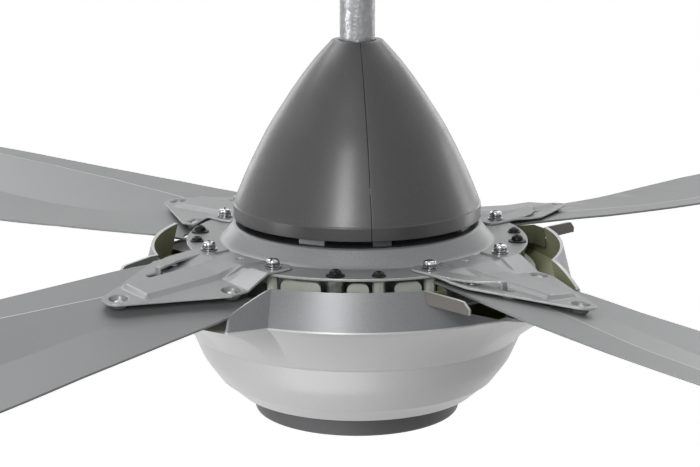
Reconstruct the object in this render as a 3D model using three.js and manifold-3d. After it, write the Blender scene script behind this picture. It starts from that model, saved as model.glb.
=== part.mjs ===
// Ceiling fan: a hanging rod, a conical upper cover, a turning motor and lower cover, and four blades.
// Millimetres, +Z up. The origin is the middle of the bracket's flat top face, which meets the ceiling.
// The fan's own axis is Z, and everything hangs below the origin. Angles are in degrees.
import * as THREE from 'three';
import { mergeVertices } from 'three/addons/utils/BufferGeometryUtils.js';
import Module from 'manifold-3d';

const wasm = await Module();
wasm.setup();

// Clearances
const seatGap = 0.3;
const runningGap = 0.35;
const cutOverrun = 2;

// Counts
const armCount = 4;
const fineSegments = 48;
const mediumSegments = 28;
const hiddenSegments = 20;
const smallSegments = 8;
const tabCornerSegments = 3;
const outlineCurveSegments = 5;
const hexSides = 6;
const fullTurn = 360;

// Where the pattern of four starts: the middle between two arms faces -Y
const firstMiddleAzimuth = -90;
const armTurn = -2.25;

// Ceiling bracket and hanger
const bracket = {
  length: 112,
  width: 76,
  thickness: 3,
  cheekWidth: 44,
  cheekSpacing: 33,
  pinDrop: 34,
  cheekBelowPin: 14,
  slotLength: 16,
  slotWidth: 7,
  slotSpacing: 84,
};
const hangerBolt = { radius: 5, headRadius: 9, headHeight: 6, nutHeight: 6, tail: 6 };
const hangerBush = { radius: 8.2 };

// Hanging rod
const rod = { radius: 13.6, wall: 2.4, length: 300, abovePin: 13, insideCover: 30.5 };

// Ceiling canopy and the collar that holds it on the rod
const canopy = { topRadius: 74, wall: 1.6, height: 66, ceilingGap: 8 };
const canopyRadiusShares = [1, 1, 0.94, 0.8, 0.56, 0.3];
const canopyDepthShares = [0, 0.12, 0.34, 0.58, 0.8, 0.95];
const collar = { radius: 19, height: 11, grubRadius: 2.5, grubLength: 9 };

// Upper cover: two half shells that meet on a seam
const cover = {
  rimRadius: 97,
  height: 137.5,
  topRadius: 20.4,
  topEdge: 1,
  wall: 2,
  slantWall: 2.5,
  topWall: 2.5,
  rimBand: 10,
  bandStep: 0.8,
  throatGap: 0.8,
};
const coverHeightShares = [0.127, 0.254, 0.381, 0.508, 0.635, 0.762, 0.889];
const coverRadiusShares = [0.968, 0.892, 0.806, 0.712, 0.599, 0.479, 0.343];
const coverSeamAzimuth = -83.5;

// Coupler between rod and motor shaft
const coupler = { radius: 17.6, web: 4.5, shaftDepth: 26 };
const couplerBolt = { radius: 4, headRadius: 6.6, headHeight: 5, tail: 3, nutHeight: 5.5 };

// Motor shaft and what it carries
const shaft = { radius: 8.5, bore: 5, tail: 5.5 };
const tray = { radius: 60, thickness: 2, hubRadius: 14, hubHeight: 11, aboveRim: 44 };
const board = { width: 34, depth: 56, height: 20, lidHeight: 4, lidInset: 2, fromAxis: 16 };
const bearing = { radius: 17.5, height: 9 };
const retainer = { radius: 12.5, height: 3 };

// Motor case, in two pressed halves with bolted rims, and the stands that carry the lower cover
const motor = {
  radius: 92,
  wall: 3,
  topDrop: 7.6,
  upperDepth: 39,
  lowerDepth: 49,
  rimWidth: 12,
  rimThickness: 3,
  hubWall: 4,
  shaftClearance: 2,
  standRadius: 5.5,
  standCircle: 72,
};
const standCount = 4;
const stator = { radius: 82.4, height: 26, hubRadius: 30, toothWidth: 11, shoeDepth: 7, slotMouth: 5 };
const toothCount = 12;
const winding = { innerRadius: 33, outerRadius: 71, height: 7, barLength: 13, barWidth: 6 };
const magnet = { height: 34 };

// Rotor flange: flat ring, conical collar and an inward lip that lies on the motor case
const flange = {
  edgeRadius: 134,
  edgeRound: 0.65,
  footRadius: 106.2,
  footFillet: 3.4,
  footRound: 1.2,
  topRadius: 97.5,
  lipRadius: 80,
  thickness: 2,
  topDrop: 5.3,
  ringDrop: 18.7,
};

// Bright screws that hold the arms: washer, spring washer and rounded head
const armScrew = {
  circle: 124.7,
  shank: 2.4,
  length: 15,
  washerRadius: 5.7,
  washerHeight: 1,
  springRadius: 4.6,
  springHeight: 1.4,
  springGroove: 0.5,
  headRadius: 4.3,
  headHeight: 3.2,
};
const armScrewAngle = 17.5;
const armScrewDomeShare = 0.72;

// Black screws that hold the carrier ring under the flange
const padCircle = 126;
const padScrewAngle = 7.2;
const padScrewDomeShare = 0.6;
const wideScrew = { shank: 2.8, headRadius: 4.4, headHeight: 4, padRadius: 6.4, padHeight: 1.4, length: 12 };
const slimScrew = { shank: 2.2, headRadius: 3.8, headHeight: 3, padRadius: 4.6, padHeight: 1, length: 12 };

// Carrier ring under the flange: floor, upright tabs, posts and bushes
const carrier = {
  edgeRadius: 141,
  thickness: 2,
  tabRadius: 129,
  tabThickness: 1.6,
  tabTopDrop: 23.4,
  tabCorner: 5,
};
const tabAngles = [-18.6, 0.3, 16.8];
const tabs = [{ width: 31 }, { width: 16 }, { width: 20.4 }];
const post = { armRadius: 4.3, slimRadius: 4.6 };
const bush = { radius: 7.3, waistRadius: 6, collarHeight: 3.5 };

// Lower cover: upright wall with a pocket for each blade, and a stepped bowl under it
const shell = {
  wall: 2.5,
  slantWall: 3.2,
  wallTopRadius: 161.7,
  wallTopDrop: 21.6,
  shoulderRadius: 169.1,
  shoulderDrop: 50,
  waistRadius: 149,
  waistDrop: 67,
  grooveRadius: 132,
  grooveDrop: 88.8,
  grooveStep: 1.4,
  bellyRadius: 121.5,
  bellyDrop: 111,
  bowlRadius: 110,
  bowlDrop: 127,
  stepRadius: 104.5,
  stepDrop: 131.2,
  rimRadius: 95.6,
  rimDrop: 139.1,
  floorRadius: 58,
};
const shellSegments = 72;

// Blade pocket in the wall, measured from the arm's axis; minus is the high side of the blade
const pocket = {
  bulge: 21.5,
  finReach: 24,
  finWall: 2.2,
  finCorner: 5,
  finTipDrop: 25,
  finFootDrop: 34,
  endDrop: 40,
  sillHighDrop: 31,
};
const pocketHighAngle = -25.8;
const pocketFinAngle = -18;
const pocketSillAngle = -1;
const pocketEndAngle = 18.8;
const pocketLowAngle = 25;
const bulgeAngles = [pocketHighAngle, -16.4, -8, pocketSillAngle, 11, pocketEndAngle, pocketLowAngle];
const bulgeShares = [0, 0.38, 0.5, 0.72, 0.98, 1, 0];
const bulgeFadePower = 1.5;

// Bottom cap and its screws
const cap = { radius: 84, footRadius: 81.7, height: 18, wall: 2, corner: 3 };
const capScrew = { radius: 2.6, headRadius: 5, headHeight: 3, length: 9 };

// Blades: pressed sheet with two lengthwise creases. Each row of shares is one station along the blade,
// from the low edge over the two creases to the high edge.
const blade = {
  rootReach: 148,
  tipReach: 700,
  width: 165,
  drop: 62,
  thickness: 1.6,
  rootCornerReach: 37,
  rootCornerAcross: 21,
  tipCorner: 42,
};
const bladeReachShares = [0, 0.086, 0.157, 0.299, 0.44, 0.582, 0.737, 0.882, 1];
const bladeAcrossShares = [
  [0.345, 0.176, -0.024, -0.321],
  [0.369, 0.157, -0.065, -0.339],
  [0.384, 0.121, -0.113, -0.364],
  [0.432, 0.075, -0.191, -0.397],
  [0.501, 0.066, -0.242, -0.412],
  [0.593, 0.092, -0.269, -0.407],
  [0.676, 0.133, -0.279, -0.394],
  [0.709, 0.17, -0.282, -0.373],
  [0.697, 0.194, -0.282, -0.352],
];
const bladeDropShares = [
  [0.577, 0.521, 0.455, 0.348],
  [0.653, 0.59, 0.489, 0.385],
  [0.716, 0.645, 0.518, 0.431],
  [0.831, 0.745, 0.569, 0.503],
  [0.924, 0.811, 0.605, 0.553],
  [1, 0.85, 0.627, 0.581],
  [1.058, 0.881, 0.648, 0.603],
  [1.097, 0.903, 0.665, 0.623],
  [1.123, 0.919, 0.677, 0.639],
];

// Blade arms: pressed sheet with two ears on the flange, a raised rib, and three riveted dimples
const arm = {
  thickness: 1.8,
  tipReach: 243,
  tipRadius: 11.5,
  halfWidth: 50,
  shoulderInset: 12,
  collarGap: 0.9,
  earHalfWidth: 46.5,
  edgeGap: 0.6,
  stepLength: 15,
  shoulderDrop: 23.2,
  ribHeight: 3.6,
  ribStartInset: 12.6,
  ribTipInset: 27,
  ribHighSide: 19,
  ribLowSide: 14.6,
  ribLowSideAtTip: 7.7,
  smallHole: 3,
  slotLength: 26,
  slotWidth: 7,
  slotAcross: 26.6,
  slotInset: 33,
};
const armRunSlope = 0.052;
const armRollSlope = 0.088;
const dimple = {
  radius: 7.5,
  rivetHole: 2.6,
  tipInset: 12,
  lowInset: 10,
  lowAcross: 37.5,
  highInset: 9,
  highAcross: 32.5,
};

// Heights, from the ceiling down
const pinZ = -bracket.pinDrop;
const rodTopZ = pinZ + rod.abovePin;
const rodBottomZ = rodTopZ - rod.length;
const coverTopZ = rodBottomZ + rod.insideCover;
const rimZ = coverTopZ - cover.height;
const couplerTopZ = coverTopZ - cover.topWall - seatGap;
const couplerFloorZ = rodBottomZ - seatGap;
const couplerBoltZ = (couplerTopZ + couplerFloorZ) / 2;
const shaftTopZ = couplerFloorZ - coupler.web - seatGap;
const couplerBottomZ = shaftTopZ - coupler.shaftDepth;
const caseTopZ = rimZ - motor.topDrop;
const upperRimZ = caseTopZ - motor.upperDepth;
const lowerRimZ = upperRimZ - seatGap;
const caseBottomZ = lowerRimZ - motor.lowerDepth;
const motorMiddleZ = (caseTopZ + caseBottomZ) / 2;
const upperBearingZ = caseTopZ - motor.wall - bearing.height - seatGap;
const lowerBearingZ = caseBottomZ + motor.wall + seatGap;
const flangeZ = rimZ - flange.ringDrop;
const carrierZ = upperRimZ + motor.rimThickness + seatGap;
const wallTopZ = rimZ - shell.wallTopDrop;
const shoulderZ = rimZ - shell.shoulderDrop;
const shellFloorZ = rimZ - shell.rimDrop;
const canopyTopZ = -canopy.ceilingGap;
const canopyBottomZ = canopyTopZ - canopy.height;
const shaftBottomZ = caseBottomZ - shaft.tail;

// Other sizes that follow
const innerCaseRadius = motor.radius - motor.wall;
const bearingBore = shaft.radius + seatGap;
const armEarReach = flange.footRadius + flange.footFillet + arm.collarGap;
const armPadEnd = flange.edgeRadius + arm.edgeGap;
const armStepEnd = armPadEnd + arm.stepLength;
const armShoulderReach = blade.rootReach + arm.shoulderInset;
const ribStart = armEarReach + arm.ribStartInset;
const ribEnd = arm.tipReach - arm.ribTipInset;
const rivetPlaces = [
  [arm.tipReach - dimple.tipInset, 0],
  [blade.rootReach + dimple.lowInset, dimple.lowAcross],
  [blade.rootReach + dimple.highInset, -dimple.highAcross],
];

// Finishes: colour, roughness and metalness
const finishes = {
  rodPaint: [0x8f9193, 0.45, 0.6],
  coverPaint: [0x4a4a4b, 0.5, 0.4],
  flangePaint: [0x8b8d8f, 0.45, 0.5],
  armPaint: [0x97989a, 0.42, 0.5],
  bladePaint: [0x8e9091, 0.45, 0.4],
  shellPaint: [0xb9bab9, 0.4, 0.2],
  capPaint: [0x565656, 0.5, 0.3],
  carrierPaint: [0x8a9086, 0.6, 0.2],
  steel: [0xb4b6b8, 0.3, 1],
  blackSteel: [0x1a1a1b, 0.4, 0.6],
  castMetal: [0x77797b, 0.6, 0.7],
  rubber: [0x222222, 0.9, 0],
  copper: [0xa8643a, 0.45, 0.8],
  coreSteel: [0x505254, 0.6, 0.8],
  magnetGrey: [0x3a3b3d, 0.6, 0.5],
  plastic: [0x2b2c2e, 0.6, 0],
};

const fan = new THREE.Group();

function radians(degrees) {
  return THREE.MathUtils.degToRad(degrees);
}

function degrees(angle) {
  return THREE.MathUtils.radToDeg(angle);
}

function signedVolume(positions, indices) {
  const a = new THREE.Vector3();
  const b = new THREE.Vector3();
  const c = new THREE.Vector3();
  let total = 0;
  for (let i = 0; i < indices.length; i += 3) {
    a.fromArray(positions, indices[i] * 3);
    b.fromArray(positions, indices[i + 1] * 3);
    c.fromArray(positions, indices[i + 2] * 3);
    total += a.dot(b.cross(c));
  }
  return total;
}

function solidOf(geometry) {
  const bare = geometry.clone();
  bare.deleteAttribute('normal');
  bare.deleteAttribute('uv');
  const merged = mergeVertices(bare);
  const positions = new Float32Array(merged.attributes.position.array);
  const indices = new Uint32Array(merged.index.array);
  if (signedVolume(positions, indices) < 0) {
    for (let i = 0; i < indices.length; i += 3) {
      [indices[i], indices[i + 1]] = [indices[i + 1], indices[i]];
    }
  }
  return new wasm.Manifold(new wasm.Mesh({ numProp: 3, vertProperties: positions, triVerts: indices }));
}

function geometryOf(solid) {
  const mesh = solid.getMesh();
  const geometry = new THREE.BufferGeometry();
  geometry.setAttribute('position', new THREE.BufferAttribute(new Float32Array(mesh.vertProperties), 3));
  geometry.setIndex(new THREE.BufferAttribute(new Uint32Array(mesh.triVerts), 1));
  return geometry;
}

function unite(solids) {
  return solids.reduce((whole, solid) => whole.add(solid));
}

function cutFrom(solid, cutters) {
  return cutters.reduce((whole, cutter) => whole.subtract(cutter), solid);
}

function addPart(name, solid, finish) {
  const [color, roughness, metalness] = finishes[finish];
  const material = new THREE.MeshStandardMaterial({ color, roughness, metalness });
  const mesh = new THREE.Mesh(geometryOf(solid), material);
  mesh.name = name;
  fan.add(mesh);
}

// Lathe form of a closed outline of [radius, height] points, upright on Z
function lathed(points, segments) {
  const outline = points.map(([radius, height]) => new THREE.Vector2(radius, height));
  outline.push(outline[0].clone());
  const geometry = new THREE.LatheGeometry(outline, segments);
  geometry.rotateX(Math.PI / 2);
  return geometry;
}

function turned(points, segments) {
  return solidOf(lathed(points, segments));
}

// Radius at a facet's corner, for a hole whose flats clear a round piece of the given radius
function bored(radius, segments) {
  return radius / Math.cos(Math.PI / segments);
}

function ringSolid(innerRadius, outerRadius, lowZ, highZ, segments) {
  const bore = bored(innerRadius, segments);
  return turned([[bore, lowZ], [outerRadius, lowZ], [outerRadius, highZ], [bore, highZ]], segments);
}

function uprightCylinder(radius, lowZ, highZ, [x, y], segments) {
  const geometry = new THREE.CylinderGeometry(radius, radius, highZ - lowZ, segments);
  geometry.rotateX(Math.PI / 2);
  geometry.translate(x, y, (lowZ + highZ) / 2);
  return solidOf(geometry);
}

function uprightHole(radius, lowZ, highZ, place, segments) {
  return uprightCylinder(bored(radius, segments), lowZ, highZ, place, segments);
}

// Cylinder along X or Y, from one place to another on that axis, at height z
function crossCylinder(radius, from, to, axis, z, segments) {
  const geometry = new THREE.CylinderGeometry(radius, radius, to - from, segments);
  if (axis === 'x') {
    geometry.rotateZ(Math.PI / 2);
    geometry.translate((from + to) / 2, 0, z);
  } else {
    geometry.translate(0, (from + to) / 2, z);
  }
  return solidOf(geometry);
}

function crossHole(radius, from, to, axis, z, segments) {
  return crossCylinder(bored(radius, segments), from, to, axis, z, segments);
}

function boxSolid(low, high) {
  const geometry = new THREE.BoxGeometry(high[0] - low[0], high[1] - low[1], high[2] - low[2]);
  geometry.translate((low[0] + high[0]) / 2, (low[1] + high[1]) / 2, (low[2] + high[2]) / 2);
  return solidOf(geometry);
}

// Upright prism over a shape drawn in X and Y
function prism(shape, lowZ, highZ) {
  const settings = { depth: highZ - lowZ, bevelEnabled: false, curveSegments: outlineCurveSegments };
  const geometry = new THREE.ExtrudeGeometry(shape, settings);
  geometry.translate(0, 0, lowZ);
  return solidOf(geometry);
}

// Plate drawn as a shape in Y and Z, standing square to X, from one reach outwards
function standingPlate(shape, reach, thickness, curveSegments) {
  const geometry = new THREE.ExtrudeGeometry(shape, { depth: thickness, bevelEnabled: false, curveSegments });
  geometry.rotateX(Math.PI / 2);
  geometry.rotateZ(Math.PI / 2);
  geometry.translate(reach, 0, 0);
  return solidOf(geometry);
}

function shapeOf(points) {
  return new THREE.Shape(points.map(([x, y]) => new THREE.Vector2(x, y)));
}

// The same solid, turned about the fan's axis
function turnedBy(solid, angle) {
  return solid.rotate([0, 0, angle]);
}

function onCircle(radius, angle) {
  return [radius * Math.cos(radians(angle)), radius * Math.sin(radians(angle))];
}

function middleAzimuth(index) {
  return firstMiddleAzimuth + (fullTurn / armCount) * index;
}

function armAzimuth(index) {
  return middleAzimuth(index) - fullTurn / armCount / 2 + armTurn;
}

function armScrewPlace(azimuth, side) {
  return onCircle(armScrew.circle, azimuth + side * armScrewAngle);
}

function padScrewPlace(index, side) {
  return onCircle(padCircle, middleAzimuth(index) + side * padScrewAngle);
}

function standPlaces() {
  const places = [];
  for (let i = 0; i < standCount; i += 1) {
    places.push(onCircle(motor.standCircle, (fullTurn / standCount) * i));
  }
  return places;
}

function interpolate(x, xs, ys) {
  for (let i = 1; i < xs.length; i += 1) {
    if (x <= xs[i]) {
      const t = (x - xs[i - 1]) / (xs[i] - xs[i - 1]);
      return ys[i - 1] + (ys[i] - ys[i - 1]) * t;
    }
  }
  return ys[ys.length - 1];
}

// Thin sheet from a grid of [x, y, z] points, thickened downwards
function sheetSolid(grid, thickness) {
  const rows = grid.length - 1;
  const columns = grid[0].length - 1;
  const geometry = new THREE.BoxGeometry(rows, columns, 1, rows, columns, 1);
  const position = geometry.attributes.position;
  for (let i = 0; i < position.count; i += 1) {
    const row = Math.round(position.getX(i) + rows / 2);
    const column = Math.round(position.getY(i) + columns / 2);
    const [x, y, z] = grid[row][column];
    position.setXYZ(i, x, y, position.getZ(i) > 0 ? z : z - thickness);
  }
  return solidOf(geometry);
}

// Ceiling bracket: flat plate with two fixing slots, and two cheeks that hold the hanger bolt
function makeBracket() {
  const { length, width, thickness, cheekWidth, cheekSpacing, slotLength, slotWidth, slotSpacing } = bracket;
  const plate = boxSolid([-length / 2, -width / 2, -thickness], [length / 2, width / 2, 0]);
  const footZ = pinZ - bracket.cheekBelowPin;
  const solids = [plate];
  const cuts = [];
  [-1, 1].forEach((side) => {
    const inner = (side * cheekSpacing) / 2;
    const outer = inner + side * thickness;
    const low = [-cheekWidth / 2, Math.min(inner, outer), footZ];
    solids.push(boxSolid(low, [cheekWidth / 2, Math.max(inner, outer), -thickness / 2]));
    const x = (side * slotSpacing) / 2;
    const slotLow = [x - slotWidth / 2, -slotLength / 2, -thickness - cutOverrun];
    cuts.push(boxSolid(slotLow, [x + slotWidth / 2, slotLength / 2, cutOverrun]));
  });
  const reach = cheekSpacing / 2 + thickness + cutOverrun;
  cuts.push(crossHole(hangerBolt.radius + runningGap, -reach, reach, 'y', pinZ, smallSegments));
  addPart('ceiling_bracket', cutFrom(unite(solids), cuts), 'steel');
}

// Bolt with a hexagon head and a nut, across the fan at height z; outside is where the head seats
function makeCrossBolt(name, bolt, axis, outside, z) {
  const { radius, headRadius, headHeight, nutHeight, tail } = bolt;
  const nutEnd = outside + nutHeight;
  const shank = crossCylinder(radius, -outside - headHeight / 2, nutEnd + tail, axis, z, smallSegments);
  const head = crossCylinder(headRadius, -outside - headHeight, -outside, axis, z, hexSides);
  addPart(`${name}_bolt`, shank.add(head), 'steel');
  const nut = crossCylinder(headRadius, outside, nutEnd, axis, z, hexSides);
  const bore = radius + seatGap;
  const thread = crossHole(bore, outside - cutOverrun, nutEnd + cutOverrun, axis, z, smallSegments);
  addPart(`${name}_nut`, nut.subtract(thread), 'steel');
}

function makeHanger() {
  const outside = bracket.cheekSpacing / 2 + bracket.thickness + seatGap;
  makeCrossBolt('hanger', hangerBolt, 'y', outside, pinZ);
  const sleeve = crossCylinder(hangerBush.radius, -rod.radius, rod.radius, 'y', pinZ, smallSegments);
  const reach = rod.radius + cutOverrun;
  const bore = crossHole(hangerBolt.radius + runningGap, -reach, reach, 'y', pinZ, smallSegments);
  addPart('hanger_bush', sleeve.subtract(bore), 'rubber');
}

function makeRod() {
  const tube = ringSolid(rod.radius - rod.wall, rod.radius, rodBottomZ, rodTopZ, mediumSegments);
  const reach = rod.radius + cutOverrun;
  const top = crossHole(hangerBush.radius + seatGap, -reach, reach, 'y', pinZ, smallSegments);
  const low = crossHole(couplerBolt.radius + seatGap, -reach, reach, 'x', couplerBoltZ, smallSegments);
  addPart('downrod', cutFrom(tube, [top, low]), 'rodPaint');
}

// Bell-shaped canopy round the bracket, and the collar under it
function makeCanopy() {
  const throat = rod.radius + seatGap;
  const outer = [];
  const inner = [];
  canopyRadiusShares.forEach((share, i) => {
    const z = canopyTopZ - canopy.height * canopyDepthShares[i];
    outer.push([canopy.topRadius * share, z]);
    inner.push([canopy.topRadius * share - canopy.wall, z + canopy.wall * canopyDepthShares[i]]);
  });
  outer.push([collar.radius, canopyBottomZ], [throat, canopyBottomZ]);
  const floorZ = canopyBottomZ + canopy.wall;
  inner.push([collar.radius - canopy.wall, floorZ], [throat, floorZ]);
  addPart('canopy', turned([...outer, ...inner.reverse()], mediumSegments), 'rodPaint');
}

function makeCollar() {
  const throat = rod.radius + seatGap;
  const topZ = canopyBottomZ - seatGap;
  const grubZ = topZ - collar.height / 2;
  const ring = ringSolid(throat, collar.radius, topZ - collar.height, topZ, mediumSegments);
  const bore = collar.grubRadius + seatGap;
  const hole = crossHole(bore, rod.radius - rod.wall, collar.radius + cutOverrun, 'x', grubZ, smallSegments);
  addPart('canopy_collar', ring.subtract(hole), 'rodPaint');
  const from = throat + seatGap;
  const grub = crossCylinder(collar.grubRadius, from, from + collar.grubLength, 'x', grubZ, smallSegments);
  addPart('canopy_grub_screw', grub, 'blackSteel');
}

// Coupler: the rod's socket above, the motor shaft's socket below, and a cross bolt through the rod
function makeCoupler() {
  const centre = [0, 0];
  const block = uprightCylinder(coupler.radius, couplerBottomZ, couplerTopZ, centre, hiddenSegments);
  const socketTop = couplerTopZ + cutOverrun;
  const rodSocket = uprightHole(rod.radius + seatGap, couplerFloorZ, socketTop, centre, hiddenSegments);
  const shaftFloor = couplerBottomZ - cutOverrun;
  const shaftSocket = uprightHole(bearingBore, shaftFloor, shaftTopZ + seatGap, centre, hiddenSegments);
  const wireHole = uprightHole(shaft.bore, couplerBottomZ, couplerTopZ, centre, hiddenSegments);
  const reach = coupler.radius + cutOverrun;
  const cross = crossHole(couplerBolt.radius + seatGap, -reach, reach, 'x', couplerBoltZ, smallSegments);
  addPart('rod_coupler', cutFrom(block, [rodSocket, shaftSocket, wireHole, cross]), 'castMetal');
  makeCrossBolt('coupler', couplerBolt, 'x', coupler.radius + seatGap, couplerBoltZ);
}

// Upper cover: one turned shell, halved along the seam
function coverOutline() {
  const { rimRadius, height, topRadius, topEdge, wall, slantWall, topWall, rimBand, bandStep } = cover;
  const bandZ = rimZ + rimBand;
  const outer = [[rimRadius, rimZ], [rimRadius, bandZ], [rimRadius - bandStep, bandZ + bandStep]];
  const inner = [[rimRadius - wall, rimZ], [rimRadius - wall, bandZ]];
  coverHeightShares.forEach((share, i) => {
    outer.push([rimRadius * coverRadiusShares[i], rimZ + height * share]);
    if (i % 2 === 1) {
      inner.push([rimRadius * coverRadiusShares[i] - slantWall, rimZ + height * share]);
    }
  });
  outer.push([topRadius, coverTopZ - topEdge], [topRadius - topEdge, coverTopZ]);
  const throat = rod.radius + cover.throatGap;
  inner.push([topRadius - topEdge, coverTopZ - topWall], [throat, coverTopZ - topWall], [throat, coverTopZ]);
  return [...outer, ...inner.reverse()];
}

function makeUpperCover() {
  const whole = turned(coverOutline(), fineSegments);
  const reach = cover.rimRadius + cutOverrun;
  const low = [-reach, seatGap / 2, rimZ - cutOverrun];
  const halfSpace = boxSolid(low, [reach, reach, coverTopZ + cutOverrun]);
  const rightSpace = turnedBy(halfSpace, coverSeamAzimuth);
  const leftSpace = turnedBy(halfSpace, coverSeamAzimuth + fullTurn / 2);
  addPart('upper_cover_left', whole.intersect(leftSpace), 'coverPaint');
  addPart('upper_cover_right', whole.intersect(rightSpace), 'coverPaint');
}

// Shaft, bearings and the retainer under the lower bearing
function shaftRing(name, radius, lowZ, height, finish) {
  addPart(name, ringSolid(bearingBore, radius, lowZ, lowZ + height, hiddenSegments), finish);
}

function makeShaft() {
  const tube = ringSolid(shaft.bore, shaft.radius, shaftBottomZ, shaftTopZ, hiddenSegments);
  addPart('motor_shaft', tube, 'steel');
  shaftRing('bearing_upper', bearing.radius, upperBearingZ, bearing.height, 'steel');
  shaftRing('bearing_lower', bearing.radius, lowerBearingZ, bearing.height, 'steel');
  const retainerZ = caseBottomZ - seatGap - retainer.height;
  shaftRing('shaft_retainer', retainer.radius, retainerZ, retainer.height, 'blackSteel');
}

// Control electronics on a round tray that the shaft carries inside the upper cover
function makeController() {
  const trayZ = rimZ + tray.aboveRim;
  const disc = ringSolid(bearingBore, tray.radius, trayZ, trayZ + tray.thickness, hiddenSegments);
  const hub = ringSolid(bearingBore, tray.hubRadius, trayZ, trayZ + tray.hubHeight, hiddenSegments);
  addPart('controller_tray', disc.add(hub), 'castMetal');
  const { width, depth, height, lidHeight, lidInset, fromAxis } = board;
  const lowZ = trayZ + tray.thickness + seatGap;
  const far = -fromAxis - width;
  const base = boxSolid([far, -depth / 2, lowZ], [-fromAxis, depth / 2, lowZ + height]);
  const lidLow = [far + lidInset, lidInset - depth / 2, lowZ];
  const lid = boxSolid(lidLow, [-fromAxis - lidInset, depth / 2 - lidInset, lowZ + height + lidHeight]);
  addPart('controller_box', base.add(lid), 'plastic');
}

// Half of the motor case from its end face to its outward rim, with a bearing seat inside the end
function caseHalfOutline(endZ, rimFaceZ, bossZ) {
  const { radius, wall, rimWidth, rimThickness, hubWall, shaftClearance } = motor;
  const inward = Math.sign(rimFaceZ - endZ);
  const seatRadius = bored(bearing.radius + seatGap, hiddenSegments);
  const bore = shaft.radius + shaftClearance;
  const floorZ = endZ + inward * wall;
  const rimBackZ = rimFaceZ - inward * rimThickness;
  return [
    [bore, endZ],
    [radius, endZ],
    [radius, rimBackZ],
    [radius + rimWidth, rimBackZ],
    [radius + rimWidth, rimFaceZ],
    [innerCaseRadius, rimFaceZ],
    [innerCaseRadius, floorZ],
    [seatRadius + hubWall, floorZ],
    [seatRadius + hubWall, bossZ],
    [seatRadius, bossZ],
    [seatRadius, floorZ],
    [bore, floorZ],
  ];
}

function makeMotorCase() {
  const upper = turned(caseHalfOutline(caseTopZ, upperRimZ, upperBearingZ), hiddenSegments);
  addPart('motor_case_upper', upper, 'castMetal');
  const bossZ = lowerBearingZ + bearing.height;
  const lower = turned(caseHalfOutline(caseBottomZ, lowerRimZ, bossZ), hiddenSegments);
  const footZ = shellFloorZ + shell.wall + seatGap;
  const topZ = caseBottomZ + motor.wall / 2;
  const stands = standPlaces().map((place) => {
    return uprightCylinder(motor.standRadius, footZ, topZ, place, smallSegments);
  });
  const bores = standPlaces().map((place) => {
    const bore = capScrew.radius + seatGap;
    return uprightHole(bore, footZ - cutOverrun, footZ + capScrew.length, place, smallSegments);
  });
  addPart('motor_case_lower', cutFrom(unite([lower, ...stands]), bores), 'castMetal');
}

// Stator: a star of teeth with wide shoes
function makeStator() {
  const { radius, height, hubRadius, toothWidth, shoeDepth, slotMouth } = stator;
  const lowZ = motorMiddleZ - height / 2;
  const pitch = fullTurn / toothCount;
  const neckRadius = radius - shoeDepth;
  const mouthHalf = degrees(slotMouth / 2 / radius);
  const hubHalf = degrees(Math.asin(toothWidth / 2 / hubRadius));
  const neckHalf = degrees(Math.asin(toothWidth / 2 / neckRadius));
  const points = [];
  for (let i = 0; i < toothCount; i += 1) {
    const axis = pitch * i;
    points.push(onCircle(hubRadius, axis - hubHalf));
    points.push(onCircle(neckRadius, axis - neckHalf));
    points.push(onCircle(radius, axis - pitch / 2 + mouthHalf));
    points.push(onCircle(radius, axis + pitch / 2 - mouthHalf));
    points.push(onCircle(neckRadius, axis + neckHalf));
    points.push(onCircle(hubRadius, axis + hubHalf));
  }
  const highZ = lowZ + height;
  const star = prism(shapeOf(points), lowZ, highZ);
  const bore = uprightHole(bearingBore, lowZ - cutOverrun, highZ + cutOverrun, [0, 0], hiddenSegments);
  addPart('stator_core', star.subtract(bore), 'coreSteel');
}

// Winding: an end ring above and below the teeth, joined by a bar through each slot
function makeWinding() {
  const { innerRadius, outerRadius, height, barLength, barWidth } = winding;
  const belowZ = motorMiddleZ - stator.height / 2 - seatGap - height;
  const aboveZ = motorMiddleZ + stator.height / 2 + seatGap;
  const solids = [belowZ, aboveZ].map((z) => {
    return ringSolid(innerRadius, outerRadius, z, z + height, hiddenSegments);
  });
  const outer = outerRadius - seatGap;
  const low = [outer - barLength, -barWidth / 2, belowZ + height / 2];
  const bar = boxSolid(low, [outer, barWidth / 2, aboveZ + height / 2]);
  for (let i = 0; i < toothCount; i += 1) {
    const pitch = fullTurn / toothCount;
    solids.push(turnedBy(bar, pitch * i + pitch / 2));
  }
  addPart('stator_winding', unite(solids), 'copper');
}

function makeMagnet() {
  const lowZ = motorMiddleZ - magnet.height / 2;
  const inner = stator.radius + runningGap;
  const ring = ringSolid(inner, innerCaseRadius - seatGap, lowZ, lowZ + magnet.height, hiddenSegments);
  addPart('magnet_ring', ring, 'magnetGrey');
}

// Rotor flange with its conical collar, drilled for the arm screws and the carrier's screws
function flangeOutline() {
  const { edgeRadius, edgeRound, footRadius, footFillet, footRound } = flange;
  const { topRadius, lipRadius, thickness } = flange;
  const topZ = rimZ - flange.topDrop;
  const steepness = (topZ - flangeZ) / (footRadius - topRadius);
  const filletZ = flangeZ + footFillet;
  const filletRadius = footRadius - footFillet / steepness;
  return [
    [lipRadius, topZ],
    [topRadius - thickness, topZ],
    [topRadius, topZ - thickness / 2],
    [filletRadius, filletZ],
    [footRadius + footRound, flangeZ + footRound / 2],
    [footRadius + footFillet, flangeZ],
    [edgeRadius - edgeRound, flangeZ],
    [edgeRadius, flangeZ - edgeRound],
    [edgeRadius, flangeZ - thickness],
    [footRadius + footRound, flangeZ - thickness],
    [filletRadius - thickness, filletZ - thickness / 2],
    [topRadius - thickness, topZ - thickness],
    [lipRadius, topZ - thickness],
  ];
}

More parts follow.
